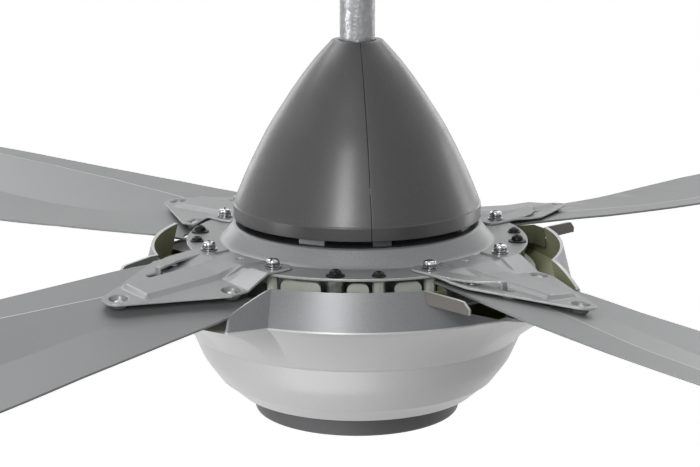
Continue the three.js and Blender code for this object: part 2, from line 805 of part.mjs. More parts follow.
function makeFlange() {
  const lowZ = flangeZ - flange.thickness - cutOverrun;
  const highZ = flangeZ + cutOverrun;
  const holes = [];
  for (let i = 0; i < armCount; i += 1) {
    [-1, 1].forEach((side) => {
      const armBore = armScrew.shank + seatGap;
      holes.push(uprightHole(armBore, lowZ, highZ, armScrewPlace(armAzimuth(i), side), smallSegments));
      const padBore = (side < 0 ? wideScrew : slimScrew).shank + seatGap;
      holes.push(uprightHole(padBore, lowZ, highZ, padScrewPlace(i, side), smallSegments));
    });
  }
  addPart('rotor_flange', cutFrom(turned(flangeOutline(), fineSegments), holes), 'flangePaint');
}

// Screws: each one turned about its own axis, then moved to its hole
function makeScrew(name, outline, [x, y], finish) {
  addPart(name, turned(outline, smallSegments).translate([x, y, 0]), finish);
}

function armScrewOutline(seatZ) {
  const { shank, length, washerRadius, washerHeight, springRadius, springHeight, springGroove } = armScrew;
  const { headRadius, headHeight } = armScrew;
  const springZ = seatZ + washerHeight;
  const headZ = springZ + springHeight;
  return [
    [0, seatZ - length],
    [shank, seatZ - length],
    [shank, seatZ],
    [washerRadius, seatZ],
    [washerRadius, springZ],
    [springRadius - springGroove, springZ],
    [springRadius, springZ + springHeight / 2],
    [springRadius - springGroove, headZ],
    [headRadius, headZ],
    [headRadius, headZ + headHeight / 2],
    [headRadius * armScrewDomeShare, headZ + headHeight],
    [0, headZ + headHeight],
  ];
}

function padScrewOutline(screw, seatZ) {
  const { shank, headRadius, headHeight, padRadius, padHeight, length } = screw;
  const headZ = seatZ + padHeight;
  return [
    [0, seatZ - length],
    [shank, seatZ - length],
    [shank, seatZ],
    [padRadius, seatZ],
    [padRadius, seatZ + padHeight / 2],
    [headRadius, headZ],
    [headRadius, headZ + headHeight / 2],
    [headRadius * padScrewDomeShare, headZ + headHeight],
    [0, headZ + headHeight],
  ];
}

function makeScrews() {
  const armSeatZ = flangeZ + seatGap + arm.thickness + seatGap;
  const padSeatZ = flangeZ + seatGap;
  for (let i = 0; i < armCount; i += 1) {
    const outline = armScrewOutline(armSeatZ);
    makeScrew(`arm_screw_${i + 1}a`, outline, armScrewPlace(armAzimuth(i), -1), 'steel');
    makeScrew(`arm_screw_${i + 1}b`, outline, armScrewPlace(armAzimuth(i), 1), 'steel');
    const wide = padScrewOutline(wideScrew, padSeatZ);
    makeScrew(`flange_screw_wide_${i + 1}`, wide, padScrewPlace(i, -1), 'blackSteel');
    const slim = padScrewOutline(slimScrew, padSeatZ);
    makeScrew(`flange_screw_slim_${i + 1}`, slim, padScrewPlace(i, 1), 'blackSteel');
  }
}

// Upright tab with round upper corners, on the carrier's floor
function tabSolid(width, azimuth) {
  const { tabRadius, tabThickness, tabTopDrop, tabCorner, thickness } = carrier;
  const foot = carrierZ + thickness / 2;
  const cornerZ = rimZ - tabTopDrop - tabCorner;
  const half = width / 2;
  const shape = new THREE.Shape();
  shape.moveTo(-half, foot);
  shape.lineTo(half, foot);
  shape.lineTo(half, cornerZ);
  shape.absarc(half - tabCorner, cornerZ, tabCorner, 0, Math.PI / 2, false);
  shape.absarc(tabCorner - half, cornerZ, tabCorner, Math.PI / 2, Math.PI, false);
  return turnedBy(standingPlate(shape, tabRadius - tabThickness, tabThickness, tabCornerSegments), azimuth);
}

// Carrier ring: floor on the motor case rim, with upright tabs and the posts that the screws bite into
function makeCarrier() {
  const floorTopZ = carrierZ + carrier.thickness;
  const postTopZ = flangeZ - flange.thickness - seatGap;
  const solids = [ringSolid(motor.radius + seatGap, carrier.edgeRadius, carrierZ, floorTopZ, fineSegments)];
  const bores = [];
  const addPost = (place, radius, shank) => {
    solids.push(uprightCylinder(radius, carrierZ + carrier.thickness / 2, postTopZ, place, smallSegments));
    bores.push(uprightHole(shank + seatGap, floorTopZ, postTopZ + cutOverrun, place, smallSegments));
  };
  for (let i = 0; i < armCount; i += 1) {
    tabs.forEach(({ width }, k) => solids.push(tabSolid(width, middleAzimuth(i) + tabAngles[k])));
    addPost(armScrewPlace(armAzimuth(i), -1), post.armRadius, armScrew.shank);
    addPost(armScrewPlace(armAzimuth(i), 1), post.armRadius, armScrew.shank);
    addPost(padScrewPlace(i, 1), post.slimRadius, slimScrew.shank);
  }
  addPart('carrier_ring', cutFrom(unite(solids), bores), 'carrierPaint');
}

// Waisted rubber bushes under the wide black screws
function makeBushes() {
  const lowZ = carrierZ + carrier.thickness + seatGap;
  const highZ = flangeZ - flange.thickness - seatGap;
  const bore = bored(wideScrew.shank + seatGap, smallSegments);
  const outline = [
    [bore, lowZ],
    [bush.radius, lowZ],
    [bush.radius, lowZ + bush.collarHeight],
    [bush.waistRadius, lowZ + bush.collarHeight],
    [bush.waistRadius, highZ - bush.collarHeight],
    [bush.radius, highZ - bush.collarHeight],
    [bush.radius, highZ],
    [bore, highZ],
  ];
  for (let i = 0; i < armCount; i += 1) {
    makeScrew(`flange_bush_${i + 1}`, outline, padScrewPlace(i, -1), 'rubber');
  }
}

// How far the lower cover's wall swells outwards at an azimuth, where a blade pocket is
function bulgeAt(azimuth) {
  const pitch = fullTurn / armCount;
  const angle = THREE.MathUtils.euclideanModulo(azimuth - armAzimuth(0) + pitch / 2, pitch) - pitch / 2;
  if (angle <= pocketHighAngle || angle >= pocketLowAngle) {
    return 0;
  }
  return pocket.bulge * interpolate(angle, bulgeAngles, bulgeShares);
}

function shellOutline() {
  const { wall, slantWall, grooveStep } = shell;
  const waistZ = rimZ - shell.waistDrop;
  const grooveZ = rimZ - shell.grooveDrop;
  const bellyZ = rimZ - shell.bellyDrop;
  const bowlZ = rimZ - shell.bowlDrop;
  const stepZ = rimZ - shell.stepDrop;
  return [
    [shell.wallTopRadius, wallTopZ],
    [shell.shoulderRadius, shoulderZ],
    [shell.waistRadius, waistZ],
    [shell.grooveRadius, grooveZ],
    [shell.grooveRadius - grooveStep, grooveZ - grooveStep / 2],
    [shell.bellyRadius, bellyZ],
    [shell.bowlRadius, bowlZ],
    [shell.stepRadius, stepZ],
    [shell.rimRadius, shellFloorZ],
    [shell.floorRadius, shellFloorZ],
    [shell.floorRadius, shellFloorZ + wall],
    [shell.rimRadius - wall, shellFloorZ + wall],
    [shell.bowlRadius - slantWall, bowlZ + wall / 2],
    [shell.bellyRadius - slantWall, bellyZ + wall / 2],
    [shell.grooveRadius - grooveStep - slantWall, grooveZ],
    [shell.waistRadius - slantWall, waistZ],
    [shell.shoulderRadius - wall, shoulderZ + wall / 2],
    [shell.wallTopRadius - wall, wallTopZ],
  ];
}

// The turned shell, swollen outwards at each pocket: fully at the wall, fading to nothing at the groove
function swollenShell() {
  const geometry = lathed(shellOutline(), shellSegments);
  const position = geometry.attributes.position;
  const grooveZ = rimZ - shell.grooveDrop;
  for (let i = 0; i < position.count; i += 1) {
    const x = position.getX(i);
    const y = position.getY(i);
    const radius = Math.hypot(x, y);
    const height = (position.getZ(i) - grooveZ) / (shoulderZ - grooveZ);
    const fade = THREE.MathUtils.clamp(height, 0, 1) ** bulgeFadePower;
    const grown = 1 + (bulgeAt(degrees(Math.atan2(y, x))) * fade) / radius;
    position.setXY(i, x * grown, y * grown);
  }
  return solidOf(geometry);
}

// Volume cut away above one pocket's sill, drawn across the arm's axis and pushed outwards
function pocketCut(azimuth) {
  const near = shell.wallTopRadius - shell.wall - pocket.finReach;
  const far = shell.shoulderRadius + pocket.bulge + cutOverrun;
  const across = (angle) => shell.wallTopRadius * Math.sin(radians(angle));
  const endAcross = (shell.wallTopRadius + pocket.bulge) * Math.sin(radians(pocketEndAngle));
  const topZ = wallTopZ + cutOverrun;
  const shape = shapeOf([
    [across(pocketHighAngle), topZ],
    [across(pocketHighAngle), rimZ - pocket.sillHighDrop],
    [across(pocketSillAngle), shoulderZ],
    [endAcross, shoulderZ],
    [endAcross, rimZ - pocket.endDrop],
    [across(pocketLowAngle), wallTopZ],
    [across(pocketLowAngle), topZ],
  ]);
  return turnedBy(standingPlate(shape, near, far - near, outlineCurveSegments), azimuth);
}

// Upright fin on the high side of a pocket, reaching outwards from the wall's end
function highFin(azimuth) {
  const start = onCircle(shell.wallTopRadius - shell.wall / 2, pocketHighAngle);
  const end = onCircle(shell.wallTopRadius + pocket.finReach, pocketFinAngle);
  const length = Math.hypot(end[0] - start[0], end[1] - start[1]);
  const tipTopZ = rimZ - pocket.finTipDrop;
  const shape = shapeOf([
    [0, wallTopZ],
    [0, rimZ - pocket.sillHighDrop - pocket.finWall],
    [length, rimZ - pocket.finFootDrop - pocket.finWall],
    [length, tipTopZ - pocket.finCorner],
    [length - pocket.finCorner, tipTopZ],
  ]);
  const geometry = new THREE.ExtrudeGeometry(shape, { depth: pocket.finWall, bevelEnabled: false });
  geometry.rotateX(Math.PI / 2);
  geometry.translate(0, pocket.finWall / 2, 0);
  geometry.rotateZ(Math.atan2(end[1] - start[1], end[0] - start[0]));
  geometry.translate(start[0], start[1], 0);
  return turnedBy(solidOf(geometry), azimuth);
}

function makeLowerCover() {
  const cuts = [];
  const fins = [];
  for (let i = 0; i < armCount; i += 1) {
    cuts.push(pocketCut(armAzimuth(i)));
    fins.push(highFin(armAzimuth(i)));
  }
  const holes = standPlaces().map((place) => {
    const highZ = shellFloorZ + shell.wall + cutOverrun;
    return uprightHole(capScrew.radius + seatGap, shellFloorZ - cutOverrun, highZ, place, smallSegments);
  });
  const walled = unite([cutFrom(swollenShell(), cuts), ...fins]);
  addPart('lower_cover', cutFrom(walled, holes), 'shellPaint');
}

function makeCap() {
  const { radius, footRadius, height, wall, corner } = cap;
  const topZ = shellFloorZ - seatGap;
  const footZ = topZ - height;
  const outline = [
    [0, footZ],
    [footRadius - corner, footZ],
    [footRadius, footZ + corner],
    [radius, topZ],
    [radius - wall, topZ],
    [footRadius - wall, footZ + corner],
    [footRadius - corner - wall, footZ + wall],
    [0, footZ + wall],
  ];
  addPart('bottom_cap', turned(outline, fineSegments), 'capPaint');
}

// Screws that hold the lower cover to the case's stands, hidden by the cap
function makeCoverScrews() {
  const seatZ = shellFloorZ - seatGap;
  const outline = [
    [0, seatZ + capScrew.length],
    [capScrew.radius, seatZ + capScrew.length],
    [capScrew.radius, seatZ],
    [capScrew.headRadius, seatZ],
    [capScrew.headRadius, seatZ - capScrew.headHeight],
    [0, seatZ - capScrew.headHeight],
  ];
  standPlaces().forEach((place, i) => makeScrew(`cover_screw_${i + 1}`, outline, place, 'steel'));
}

// Blade's upper face as rows of [reach, across, z] points
function bladeGrid() {
  const run = blade.tipReach - blade.rootReach;
  return bladeReachShares.map((reachShare, i) => {
    const reach = blade.rootReach + run * reachShare;
    return bladeAcrossShares[i].map((acrossShare, k) => {
      return [reach, blade.width * acrossShare, rimZ - blade.drop * bladeDropShares[i][k]];
    });
  });
}

// Height of the blade's upper face at one place near the arm
function bladeTop(reach, across) {
  const grid = bladeGrid();
  const rowReaches = grid.map((row) => row[0][0]);
  const rowHeights = grid.map((row) => {
    const fromHighEdge = [...row].reverse();
    return interpolate(across, fromHighEdge.map((point) => point[1]), fromHighEdge.map((point) => point[2]));
  });
  return interpolate(reach, rowReaches, rowHeights);
}

// Highest point of the blade's upper face under a round foot
function highestUnder([reach, across], radius) {
  const heights = [-1, 0, 1].map((side) => bladeTop(reach - radius, across + side * radius));
  return Math.max(...heights);
}

// Height of the arm's top face: flat on the flange, then down over the blade
function armTop(reach, across) {
  const padZ = flangeZ + seatGap + arm.thickness;
  const run = (reach - armShoulderReach) * armRunSlope;
  const slopeZ = rimZ - arm.shoulderDrop - run - across * armRollSlope;
  return padZ + (slopeZ - padZ) * THREE.MathUtils.smoothstep(reach, armPadEnd, armStepEnd);
}

// Sides of the rib at one reach: it narrows towards the tip on the blade's low side
function ribSides(reach) {
  const low = THREE.MathUtils.mapLinear(reach, ribStart, ribEnd, arm.ribLowSide, arm.ribLowSideAtTip);
  return [-arm.ribHighSide, low];
}

function ribRise(reach, across) {
  const { ribHeight } = arm;
  const [high, low] = ribSides(reach);
  const start = THREE.MathUtils.smoothstep(reach, ribStart - ribHeight, ribStart + ribHeight);
  const end = 1 - THREE.MathUtils.smoothstep(reach, ribEnd - 2 * ribHeight, ribEnd);
  const outside = Math.max(high - across, across - low);
  return ribHeight * start * end * (1 - THREE.MathUtils.smoothstep(outside, 0, ribHeight));
}

function armGrid() {
  const { ribHeight, halfWidth } = arm;
  const reaches = [
    armEarReach - 4 * armScrew.washerRadius,
    ribStart - ribHeight,
    ribStart + ribHeight,
    armPadEnd,
    (armPadEnd + armStepEnd) / 2,
    armStepEnd,
    ribEnd - 2 * ribHeight,
    ribEnd,
    arm.tipReach + cutOverrun,
  ];
  const edge = halfWidth + cutOverrun;
  return reaches.map((reach) => {
    const [high, low] = ribSides(reach);
    const acrosses = [-edge, high - ribHeight, high, low, low + ribHeight, edge];
    return acrosses.map((across) => [reach, across, armTop(reach, across) + ribRise(reach, across)]);
  });
}

function armShape() {
  const { tipReach, tipRadius, halfWidth, earHalfWidth } = arm;
  const { washerRadius } = armScrew;
  const earAngle = Math.asin((earHalfWidth - washerRadius) / armEarReach);
  const earStart = armEarReach * Math.cos(earAngle) + washerRadius / 2;
  const earEnd = armEarReach + 3 * washerRadius;
  const centre = tipReach - tipRadius;
  const lean = Math.atan2(halfWidth - tipRadius, centre - armShoulderReach);
  const shape = new THREE.Shape();
  shape.absarc(0, 0, armEarReach, -earAngle, earAngle, false);
  shape.lineTo(earStart, earHalfWidth);
  shape.lineTo(earEnd, earHalfWidth);
  shape.lineTo(armShoulderReach - tipRadius, halfWidth);
  shape.lineTo(armShoulderReach, halfWidth);
  shape.absarc(centre, 0, tipRadius, Math.PI / 2 - lean, lean - Math.PI / 2, true);
  shape.lineTo(armShoulderReach, -halfWidth);
  shape.lineTo(earEnd, -earHalfWidth);
  shape.lineTo(earStart, -earHalfWidth);
  return shape;
}

// Arm with a cup pressed down to the blade at each rivet
function armWithDimples(sheet) {
  let solid = sheet;
  const cupRadius = dimple.radius + arm.thickness / 2;
  rivetPlaces.forEach((place) => {
    const topZ = armTop(...place);
    const cupZ = highestUnder(place, cupRadius) + seatGap;
    const floorZ = cupZ + arm.thickness;
    const cup = uprightCylinder(cupRadius, cupZ, topZ - arm.thickness / 2, place, smallSegments);
    const mouth = uprightHole(dimple.radius, floorZ, topZ + cutOverrun, place, smallSegments);
    const hole = uprightHole(dimple.rivetHole, cupZ - cutOverrun, topZ + cutOverrun, place, smallSegments);
    solid = cutFrom(solid.add(cup), [mouth, hole]);
  });
  return solid;
}

function makeArms() {
  const sheet = sheetSolid(armGrid(), arm.thickness);
  const pressed = armWithDimples(sheet.intersect(prism(armShape(), shoulderZ, rimZ)));
  const holes = [-1, 1].map((side) => {
    return uprightHole(armScrew.shank + seatGap, shoulderZ, rimZ, armScrewPlace(0, side), smallSegments);
  });
  const smallPlace = [armEarReach + 3 * arm.smallHole, 0];
  holes.push(uprightHole(arm.smallHole, shoulderZ, rimZ, smallPlace, smallSegments));
  const slotReach = blade.rootReach + arm.slotInset;
  const slotLow = [slotReach - arm.slotLength / 2, -arm.slotAcross - arm.slotWidth / 2, shoulderZ];
  holes.push(boxSolid(slotLow, [slotReach + arm.slotLength / 2, -arm.slotAcross + arm.slotWidth / 2, rimZ]));
  const finished = cutFrom(pressed, holes);
  for (let i = 0; i < armCount; i += 1) {
    addPart(`blade_arm_${i + 1}`, turnedBy(finished, armAzimuth(i)), 'armPaint');
  }
}

// Outline that trims the blade's sheet: a cut corner at the root and round corners at the tip
function bladeShape() {
  const { rootReach, tipReach, width, rootCornerReach, rootCornerAcross, tipCorner } = blade;
  const [rootLow] = bladeAcrossShares[0].map((share) => share * width);
  const tipRow = bladeAcrossShares[bladeAcrossShares.length - 1];
  const tipLow = tipRow[0] * width;
  const tipHigh = tipRow[tipRow.length - 1] * width;
  const shape = new THREE.Shape();
  shape.moveTo(rootReach, -width);
  shape.lineTo(tipReach - tipCorner, -width);
  shape.lineTo(tipReach - tipCorner, tipHigh - cutOverrun);
  shape.quadraticCurveTo(tipReach, tipHigh - cutOverrun, tipReach, tipHigh + tipCorner);
  shape.lineTo(tipReach, tipLow - tipCorner);
  shape.quadraticCurveTo(tipReach, tipLow + cutOverrun, tipReach - tipCorner, tipLow + cutOverrun);
  shape.lineTo(tipReach - tipCorner, width);
  shape.lineTo(rootReach + rootCornerReach, width);
  shape.lineTo(rootReach + rootCornerReach, rootLow + cutOverrun);
  shape.lineTo(rootReach, rootLow - rootCornerAcross);
  return shape;
}

function makeBlades() {
  const lowZ = rimZ - 2 * blade.drop;
  const trimmed = sheetSolid(bladeGrid(), blade.thickness).intersect(prism(bladeShape(), lowZ, rimZ));
  const holes = rivetPlaces.map((place) => uprightHole(dimple.rivetHole, lowZ, rimZ, place, smallSegments));
  const finished = cutFrom(trimmed, holes);
  for (let i = 0; i < armCount; i += 1) {
    addPart(`blade_${i + 1}`, turnedBy(finished, armAzimuth(i)), 'bladePaint');
  }
}

makeBracket();
makeHanger();
makeRod();
makeCanopy();
makeCollar();
makeCoupler();
makeUpperCover();
makeShaft();
makeController();
makeMotorCase();
makeStator();
makeWinding();
makeMagnet();
makeFlange();
makeScrews();
makeCarrier();
makeBushes();
makeLowerCover();
makeCap();
makeCoverScrews();
makeArms();
makeBlades();

export default fan;
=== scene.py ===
import math

import bmesh
import bpy
from mathutils import Matrix, Vector


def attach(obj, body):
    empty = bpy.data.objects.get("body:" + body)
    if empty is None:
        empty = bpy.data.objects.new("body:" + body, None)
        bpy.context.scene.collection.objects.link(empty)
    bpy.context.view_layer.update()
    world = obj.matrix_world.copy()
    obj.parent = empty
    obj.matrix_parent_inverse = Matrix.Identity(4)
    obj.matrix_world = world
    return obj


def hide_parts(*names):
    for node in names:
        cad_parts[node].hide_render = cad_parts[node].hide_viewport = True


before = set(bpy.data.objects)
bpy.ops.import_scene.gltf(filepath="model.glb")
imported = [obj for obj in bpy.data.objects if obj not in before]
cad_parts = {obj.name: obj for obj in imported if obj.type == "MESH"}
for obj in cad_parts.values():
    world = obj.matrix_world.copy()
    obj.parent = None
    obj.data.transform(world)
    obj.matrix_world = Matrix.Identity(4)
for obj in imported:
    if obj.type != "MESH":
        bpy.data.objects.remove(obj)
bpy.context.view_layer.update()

# One millimetre in metres, and how close vertices are merged
MM = 0.001
MERGE = 0.00001

# A full turn, and steps in it for the large pieces, the lower cover and the small pieces
TURN = 2 * math.pi
FINE = 160
COVER_STEPS = 360
SMALL = 32

# Heights in mm, from the ceiling down
PIN = -34
ROD_BOTTOM = -321
COVER_TOP = -290.5
RIM = -428
FLANGE_TOP = RIM - 5.3
LEDGE = RIM - 18.7
SHELL_FLOOR = -567.1

# Space in mm between a piece and what it is seated on
SEAT = 0.3

# Where the four arms point, and how far the pattern turns from one to the next
FIRST_ARM = -137.25
QUARTER = 90
ARMS = range(4)


def arm_azimuth(index):
    return FIRST_ARM + QUARTER * index


def middle_azimuth(index):
    return -90 + QUARTER * index


# Bodies of pieces


def loose_object(bm, name):
    mesh = bpy.data.meshes.new(name)
    bm.to_mesh(mesh)
    bm.free()
    obj = bpy.data.objects.new(name, mesh)
    bpy.context.scene.collection.objects.link(obj)
    return obj


def add_piece(bm, name, body, finishes, nodes):
    """Makes an object of a finished bmesh, which rides on one body and stands for CAD nodes."""
    obj = loose_object(bm, name)
    for finish in finishes:
        obj.data.materials.append(finish)
    obj.data.shade_smooth()
    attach(obj, body)
    if nodes:
        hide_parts(*nodes)
    return obj


def round_edges(obj, width, angle=32, segments=3):
    """Rounds an object's sharp edges and keeps its flat faces flat."""
    bevel = obj.modifiers.new("rounded_edges", "BEVEL")
    bevel.width = width * MM
    bevel.segments = segments
    bevel.limit_method = "ANGLE"
    bevel.angle_limit = math.radians(angle)
    bevel.profile = 0.5
    normals = obj.modifiers.new("even_normals", "WEIGHTED_NORMAL")
    normals.keep_sharp = True
    return obj


def thicken(obj, thickness, rim=0, lining=0):
    """Gives a sheet its wall on the inner side. Rim and lining are the steps to their finishes."""
    wall = obj.modifiers.new("sheet", "SOLIDIFY")
    wall.thickness = thickness * MM
    wall.offset = -1
    wall.use_even_offset = True
    wall.material_offset_rim = rim
    wall.material_offset = lining


def chain(bm, points, closed):
    """Edges through [radius, height] points in the plane of X and Z."""
    verts = [bm.verts.new((r * MM, 0, z * MM)) for r, z in points]
    edges = [bm.edges.new(pair) for pair in zip(verts, verts[1:])]
    if closed:
        edges.append(bm.edges.new((verts[-1], verts[0])))
    return verts + edges


def spun(points, steps=FINE, closed=True):
    """Full turn of an outline about the fan's axis."""
    bm = bmesh.new()
    geom = chain(bm, points, closed)
    bmesh.ops.spin(
        bm, geom=geom, cent=(0, 0, 0), axis=(0, 0, 1), angle=TURN, steps=steps, use_merge=True
    )
    bmesh.ops.remove_doubles(bm, verts=bm.verts, dist=MERGE)
    bmesh.ops.recalc_face_normals(bm, faces=bm.faces)
    return bm


def turned(points, steps=SMALL):
    """Full turn of an outline that starts and ends on the axis."""
    return spun(points, steps, False)


def part_turn(points, angle, steps, climb=0):
    """Part of a turn of a closed outline, with both ends closed, which may climb at each step."""
    bm = bmesh.new()
    geom = chain(bm, points, True)
    bmesh.ops.spin(
        bm, geom=geom, cent=(0, 0, 0), axis=(0, 0, 1), dvec=(0, 0, climb * MM), angle=angle, steps=steps
    )
    bmesh.ops.holes_fill(bm, edges=[e for e in bm.edges if e.is_boundary], sides=0)
    bmesh.ops.recalc_face_normals(bm, faces=bm.faces)
    return bm


def drawn_out(bm, edges):
    """Draws edges out into faces, and gives the new edges, vertices and faces."""
    new = bmesh.ops.extrude_edge_only(bm, edges=edges)["geom"]
    kinds = (bmesh.types.BMEdge, bmesh.types.BMVert, bmesh.types.BMFace)
    return [[g for g in new if isinstance(g, kind)] for kind in kinds]


def with_corners(faces):
    """Faces with their vertices and edges."""
    verts = {v for f in faces for v in f.verts}
    edges = {e for f in faces for e in f.edges}
    return list(verts) + list(edges) + faces


def smooth_run(points, cuts=4):
    """More points on one even curve through the given ones."""
    padded = [points[0], *points, points[-1]]
    run = []
    for before, start, end, after in zip(padded, padded[1:], padded[2:], padded[3:]):
        for i in range(cuts):
            t = i / cuts
            run.append([
                0.5 * (2 * b + (c - a) * t + (2 * a - 5 * b + 4 * c - d) * t * t
                       + (3 * b - a - 3 * c + d) * t ** 3)
                for a, b, c, d in zip(before, start, end, after)
            ])
    run.append(list(points[-1]))
    return run


def on_circle(radius, azimuth):
    a = math.radians(azimuth)
    return radius * math.cos(a), radius * math.sin(a)


def placed(bm, x, y, z=0, turn=0):
    """Turns a bmesh about its own upright axis and moves it to a place in mm."""
    matrix = Matrix.Translation((x * MM, y * MM, z * MM)) @ Matrix.Rotation(math.radians(turn), 4, "Z")
    bmesh.ops.transform(bm, matrix=matrix, verts=bm.verts)
    return bm


def joined(parts):
    """One bmesh of several."""
    whole = bmesh.new()
    for part in parts:
        mesh = bpy.data.meshes.new("joining")
        part.to_mesh(mesh)
        part.free()
        whole.from_mesh(mesh)
        bpy.data.meshes.remove(mesh)
    return whole


def cut_away(bm, cutters):
    """The bmesh with the cutters' volumes taken out of it, one after the other."""
    body = loose_object(bm, "uncut")
    tools = [loose_object(cutter, "cutter") for cutter in cutters]
    for tool in tools:
        modifier = body.modifiers.new("cut", "BOOLEAN")
        modifier.operation = "DIFFERENCE"
        modifier.solver = "EXACT"
        modifier.object = tool
    view = bpy.context.evaluated_depsgraph_get()
    finished = bpy.data.meshes.new_from_object(body.evaluated_get(view))
    result = bmesh.new()
    result.from_mesh(finished)
    bpy.data.meshes.remove(finished)
    for obj in [body] + tools:
        mesh = obj.data
        bpy.data.objects.remove(obj)
        bpy.data.meshes.remove(mesh)
    return result


def cross_bar(radius, length, about):
    """Round bar laid down about X or Y, as a volume to cut."""
    bm = bmesh.new()
    bmesh.ops.create_cone(
        bm, cap_ends=True, segments=SMALL, radius1=radius * MM, radius2=radius * MM, depth=length * MM
    )
    bmesh.ops.rotate(bm, matrix=Matrix.Rotation(TURN / 4, 3, about), verts=bm.verts)
    return bm


def bar(length, width, height, z):
    """Square bar about a height on the axis, as a volume to cut."""
    bm = bmesh.new()
    bmesh.ops.create_cube(bm, size=1)
    bmesh.ops.scale(bm, vec=(length * MM, width * MM, height * MM), verts=bm.verts)
    return placed(bm, 0, 0, z)


# Finishes


def linear(level):
    """Share of full light for a level of colour out of 255."""
    level /= 255
    return level / 12.92 if level <= 0.04045 else ((level + 0.055) / 1.055) ** 2.4


def colour(red, green, blue):
    return linear(red), linear(green), linear(blue), 1


# Range of a noise within which a finish changes
NOISE_LOW = 0.3
NOISE_HIGH = 0.7


def set_inputs(node, values):
    for name, value in values.items():
        node.inputs[name].default_value = value


class Finish:
    """Node material that starts as a plain Principled surface read in Object coordinates."""

    def __init__(self, name, roughness, metallic=0.0, specular=0.5):
        self.material = bpy.data.materials.new(name)
        self.material.use_nodes = True
        self.tree = self.material.node_tree
        self.surface = self.tree.nodes["Principled BSDF"]
        values = {"Roughness": roughness, "Metallic": metallic, "Specular IOR Level": specular}
        set_inputs(self.surface, values)
        self.place = self.tree.nodes.new("ShaderNodeTexCoord").outputs["Object"]

    def link(self, output, target):
        self.tree.links.new(output, target)

    def stretched(self, scale):
        mapping = self.tree.nodes.new("ShaderNodeMapping")
        mapping.inputs["Scale"].default_value = scale
        self.link(self.place, mapping.inputs["Vector"])
        return mapping.outputs["Vector"]

    def noise(self, scale, detail=3.0, vector=None):
        grain = self.tree.nodes.new("ShaderNodeTexNoise")
        set_inputs(grain, {"Scale": scale, "Detail": detail})
        self.link(vector or self.place, grain.inputs["Vector"])
        return grain.outputs["Fac"]

    def cells(self, scale):
        pattern = self.tree.nodes.new("ShaderNodeTexVoronoi")
        pattern.feature = "SMOOTH_F1"
        pattern.inputs["Scale"].default_value = scale
        self.link(self.place, pattern.inputs["Vector"])
        return pattern.outputs["Distance"]

    def blend(self, factor, first, second, start=NOISE_LOW, end=NOISE_HIGH):
        """Colour that runs from the first to the second over the factor's range."""
        ramp = self.tree.nodes.new("ShaderNodeValToRGB")
        for element, position, level in zip(ramp.color_ramp.elements, (start, end), (first, second)):
            element.position = position
            element.color = colour(*level)
        self.link(factor, ramp.inputs["Fac"])
        self.link(ramp.outputs["Color"], self.surface.inputs["Base Color"])

    def speckle(self, scale, first, second):
        """Two close colours in a fine mix."""
        self.blend(self.noise(scale), first, second)

    def rough(self, scale, low, high):
        """Roughness that varies a little over the surface."""
        remap = self.tree.nodes.new("ShaderNodeMapRange")
        set_inputs(remap, {"From Min": NOISE_LOW, "From Max": NOISE_HIGH, "To Min": low, "To Max": high})
        self.link(self.noise(scale), remap.inputs["Value"])
        self.link(remap.outputs["Result"], self.surface.inputs["Roughness"])

    def bumps(self, factor, height, strength):
        """Bumps of a height in mm. Gives the material, which is finished with them."""
        bump = self.tree.nodes.new("ShaderNodeBump")
        set_inputs(bump, {"Distance": height * MM, "Strength": strength})
        self.link(factor, bump.inputs["Height"])
        self.link(bump.outputs["Normal"], self.surface.inputs["Normal"])
        return self.material

    def grain(self, scale, height, strength):
        return self.bumps(self.noise(scale), height, strength)

    def coat(self, weight, roughness):
        set_inputs(self.surface, {"Coat Weight": weight, "Coat Roughness": roughness})


def hammered_rod_paint():
    f = Finish("hammered_rod_paint", 0.38, 0.45)
    f.speckle(160, (126, 127, 129), (154, 155, 157))
    f.rough(300, 0.3, 0.46)
    return f.bumps(f.cells(420), 0.35, 0.8)


def satin_cover_paint():
    f = Finish("satin_cover_paint", 0.45, 0.0, 0.4)
    sparkle = f.noise(2600, 1.0)
    f.blend(sparkle, (35, 35, 36), (57, 57, 59))
    f.rough(90, 0.42, 0.5)
    f.coat(0.45, 0.26)
    return f.bumps(sparkle, 0.02, 0.5)


def flange_paint():
    f = Finish("flange_paint", 0.42, 0.3)
    f.speckle(900, (119, 120, 121), (131, 132, 133))
    f.rough(900, 0.36, 0.46)
    return f.grain(1500, 0.03, 0.5)


def arm_paint():
    f = Finish("arm_paint", 0.38, 0.35)
    f.speckle(900, (124, 125, 126), (132, 133, 134))
    f.rough(900, 0.36, 0.44)
    return f.grain(1300, 0.02, 0.3)


def blade_paint():
    f = Finish("blade_paint", 0.45, 0.3, 0.4)
    f.speckle(900, (114, 115, 116), (121, 122, 123))
    f.rough(900, 0.42, 0.5)
    return f.grain(1400, 0.02, 0.3)


def pale_shell_paint():
    f = Finish("pale_shell_paint", 0.34, 0.15)
    f.speckle(900, (176, 177, 176), (182, 183, 182))
    f.rough(900, 0.32, 0.4)
    f.coat(0.3, 0.2)
    return f.grain(1200, 0.02, 0.4)


# Darker grey laid on the lower cover's wall above the shoulder as painted shade against the pale bowl; also
# on the fins' inner sides.
def wall_shade_paint():
    f = Finish("wall_shade_paint", 0.36, 0.3)
    f.speckle(900, (113, 114, 116), (121, 122, 124))
    f.rough(900, 0.32, 0.4)
    return f.grain(1500, 0.02, 0.4)


def fin_paint():
    f = Finish("fin_paint", 0.55, 0.0, 0.25)
    f.speckle(900, (92, 88, 84), (100, 96, 92))
    f.rough(900, 0.5, 0.6)
    return f.grain(1500, 0.02, 0.4)


# Dark olive that stands for painted shade under the blades inside the pockets.
def olive_shade_paint():
    f = Finish("olive_shade_paint", 0.7, 0.0, 0.2)
    f.speckle(600, (82, 84, 66), (90, 92, 73))
    return f.grain(900, 0.03, 0.5)


def olive_inside_paint():
    f = Finish("olive_inside_paint", 0.6)
    f.speckle(600, (146, 147, 116), (156, 157, 127))
    return f.grain(900, 0.03, 0.5)
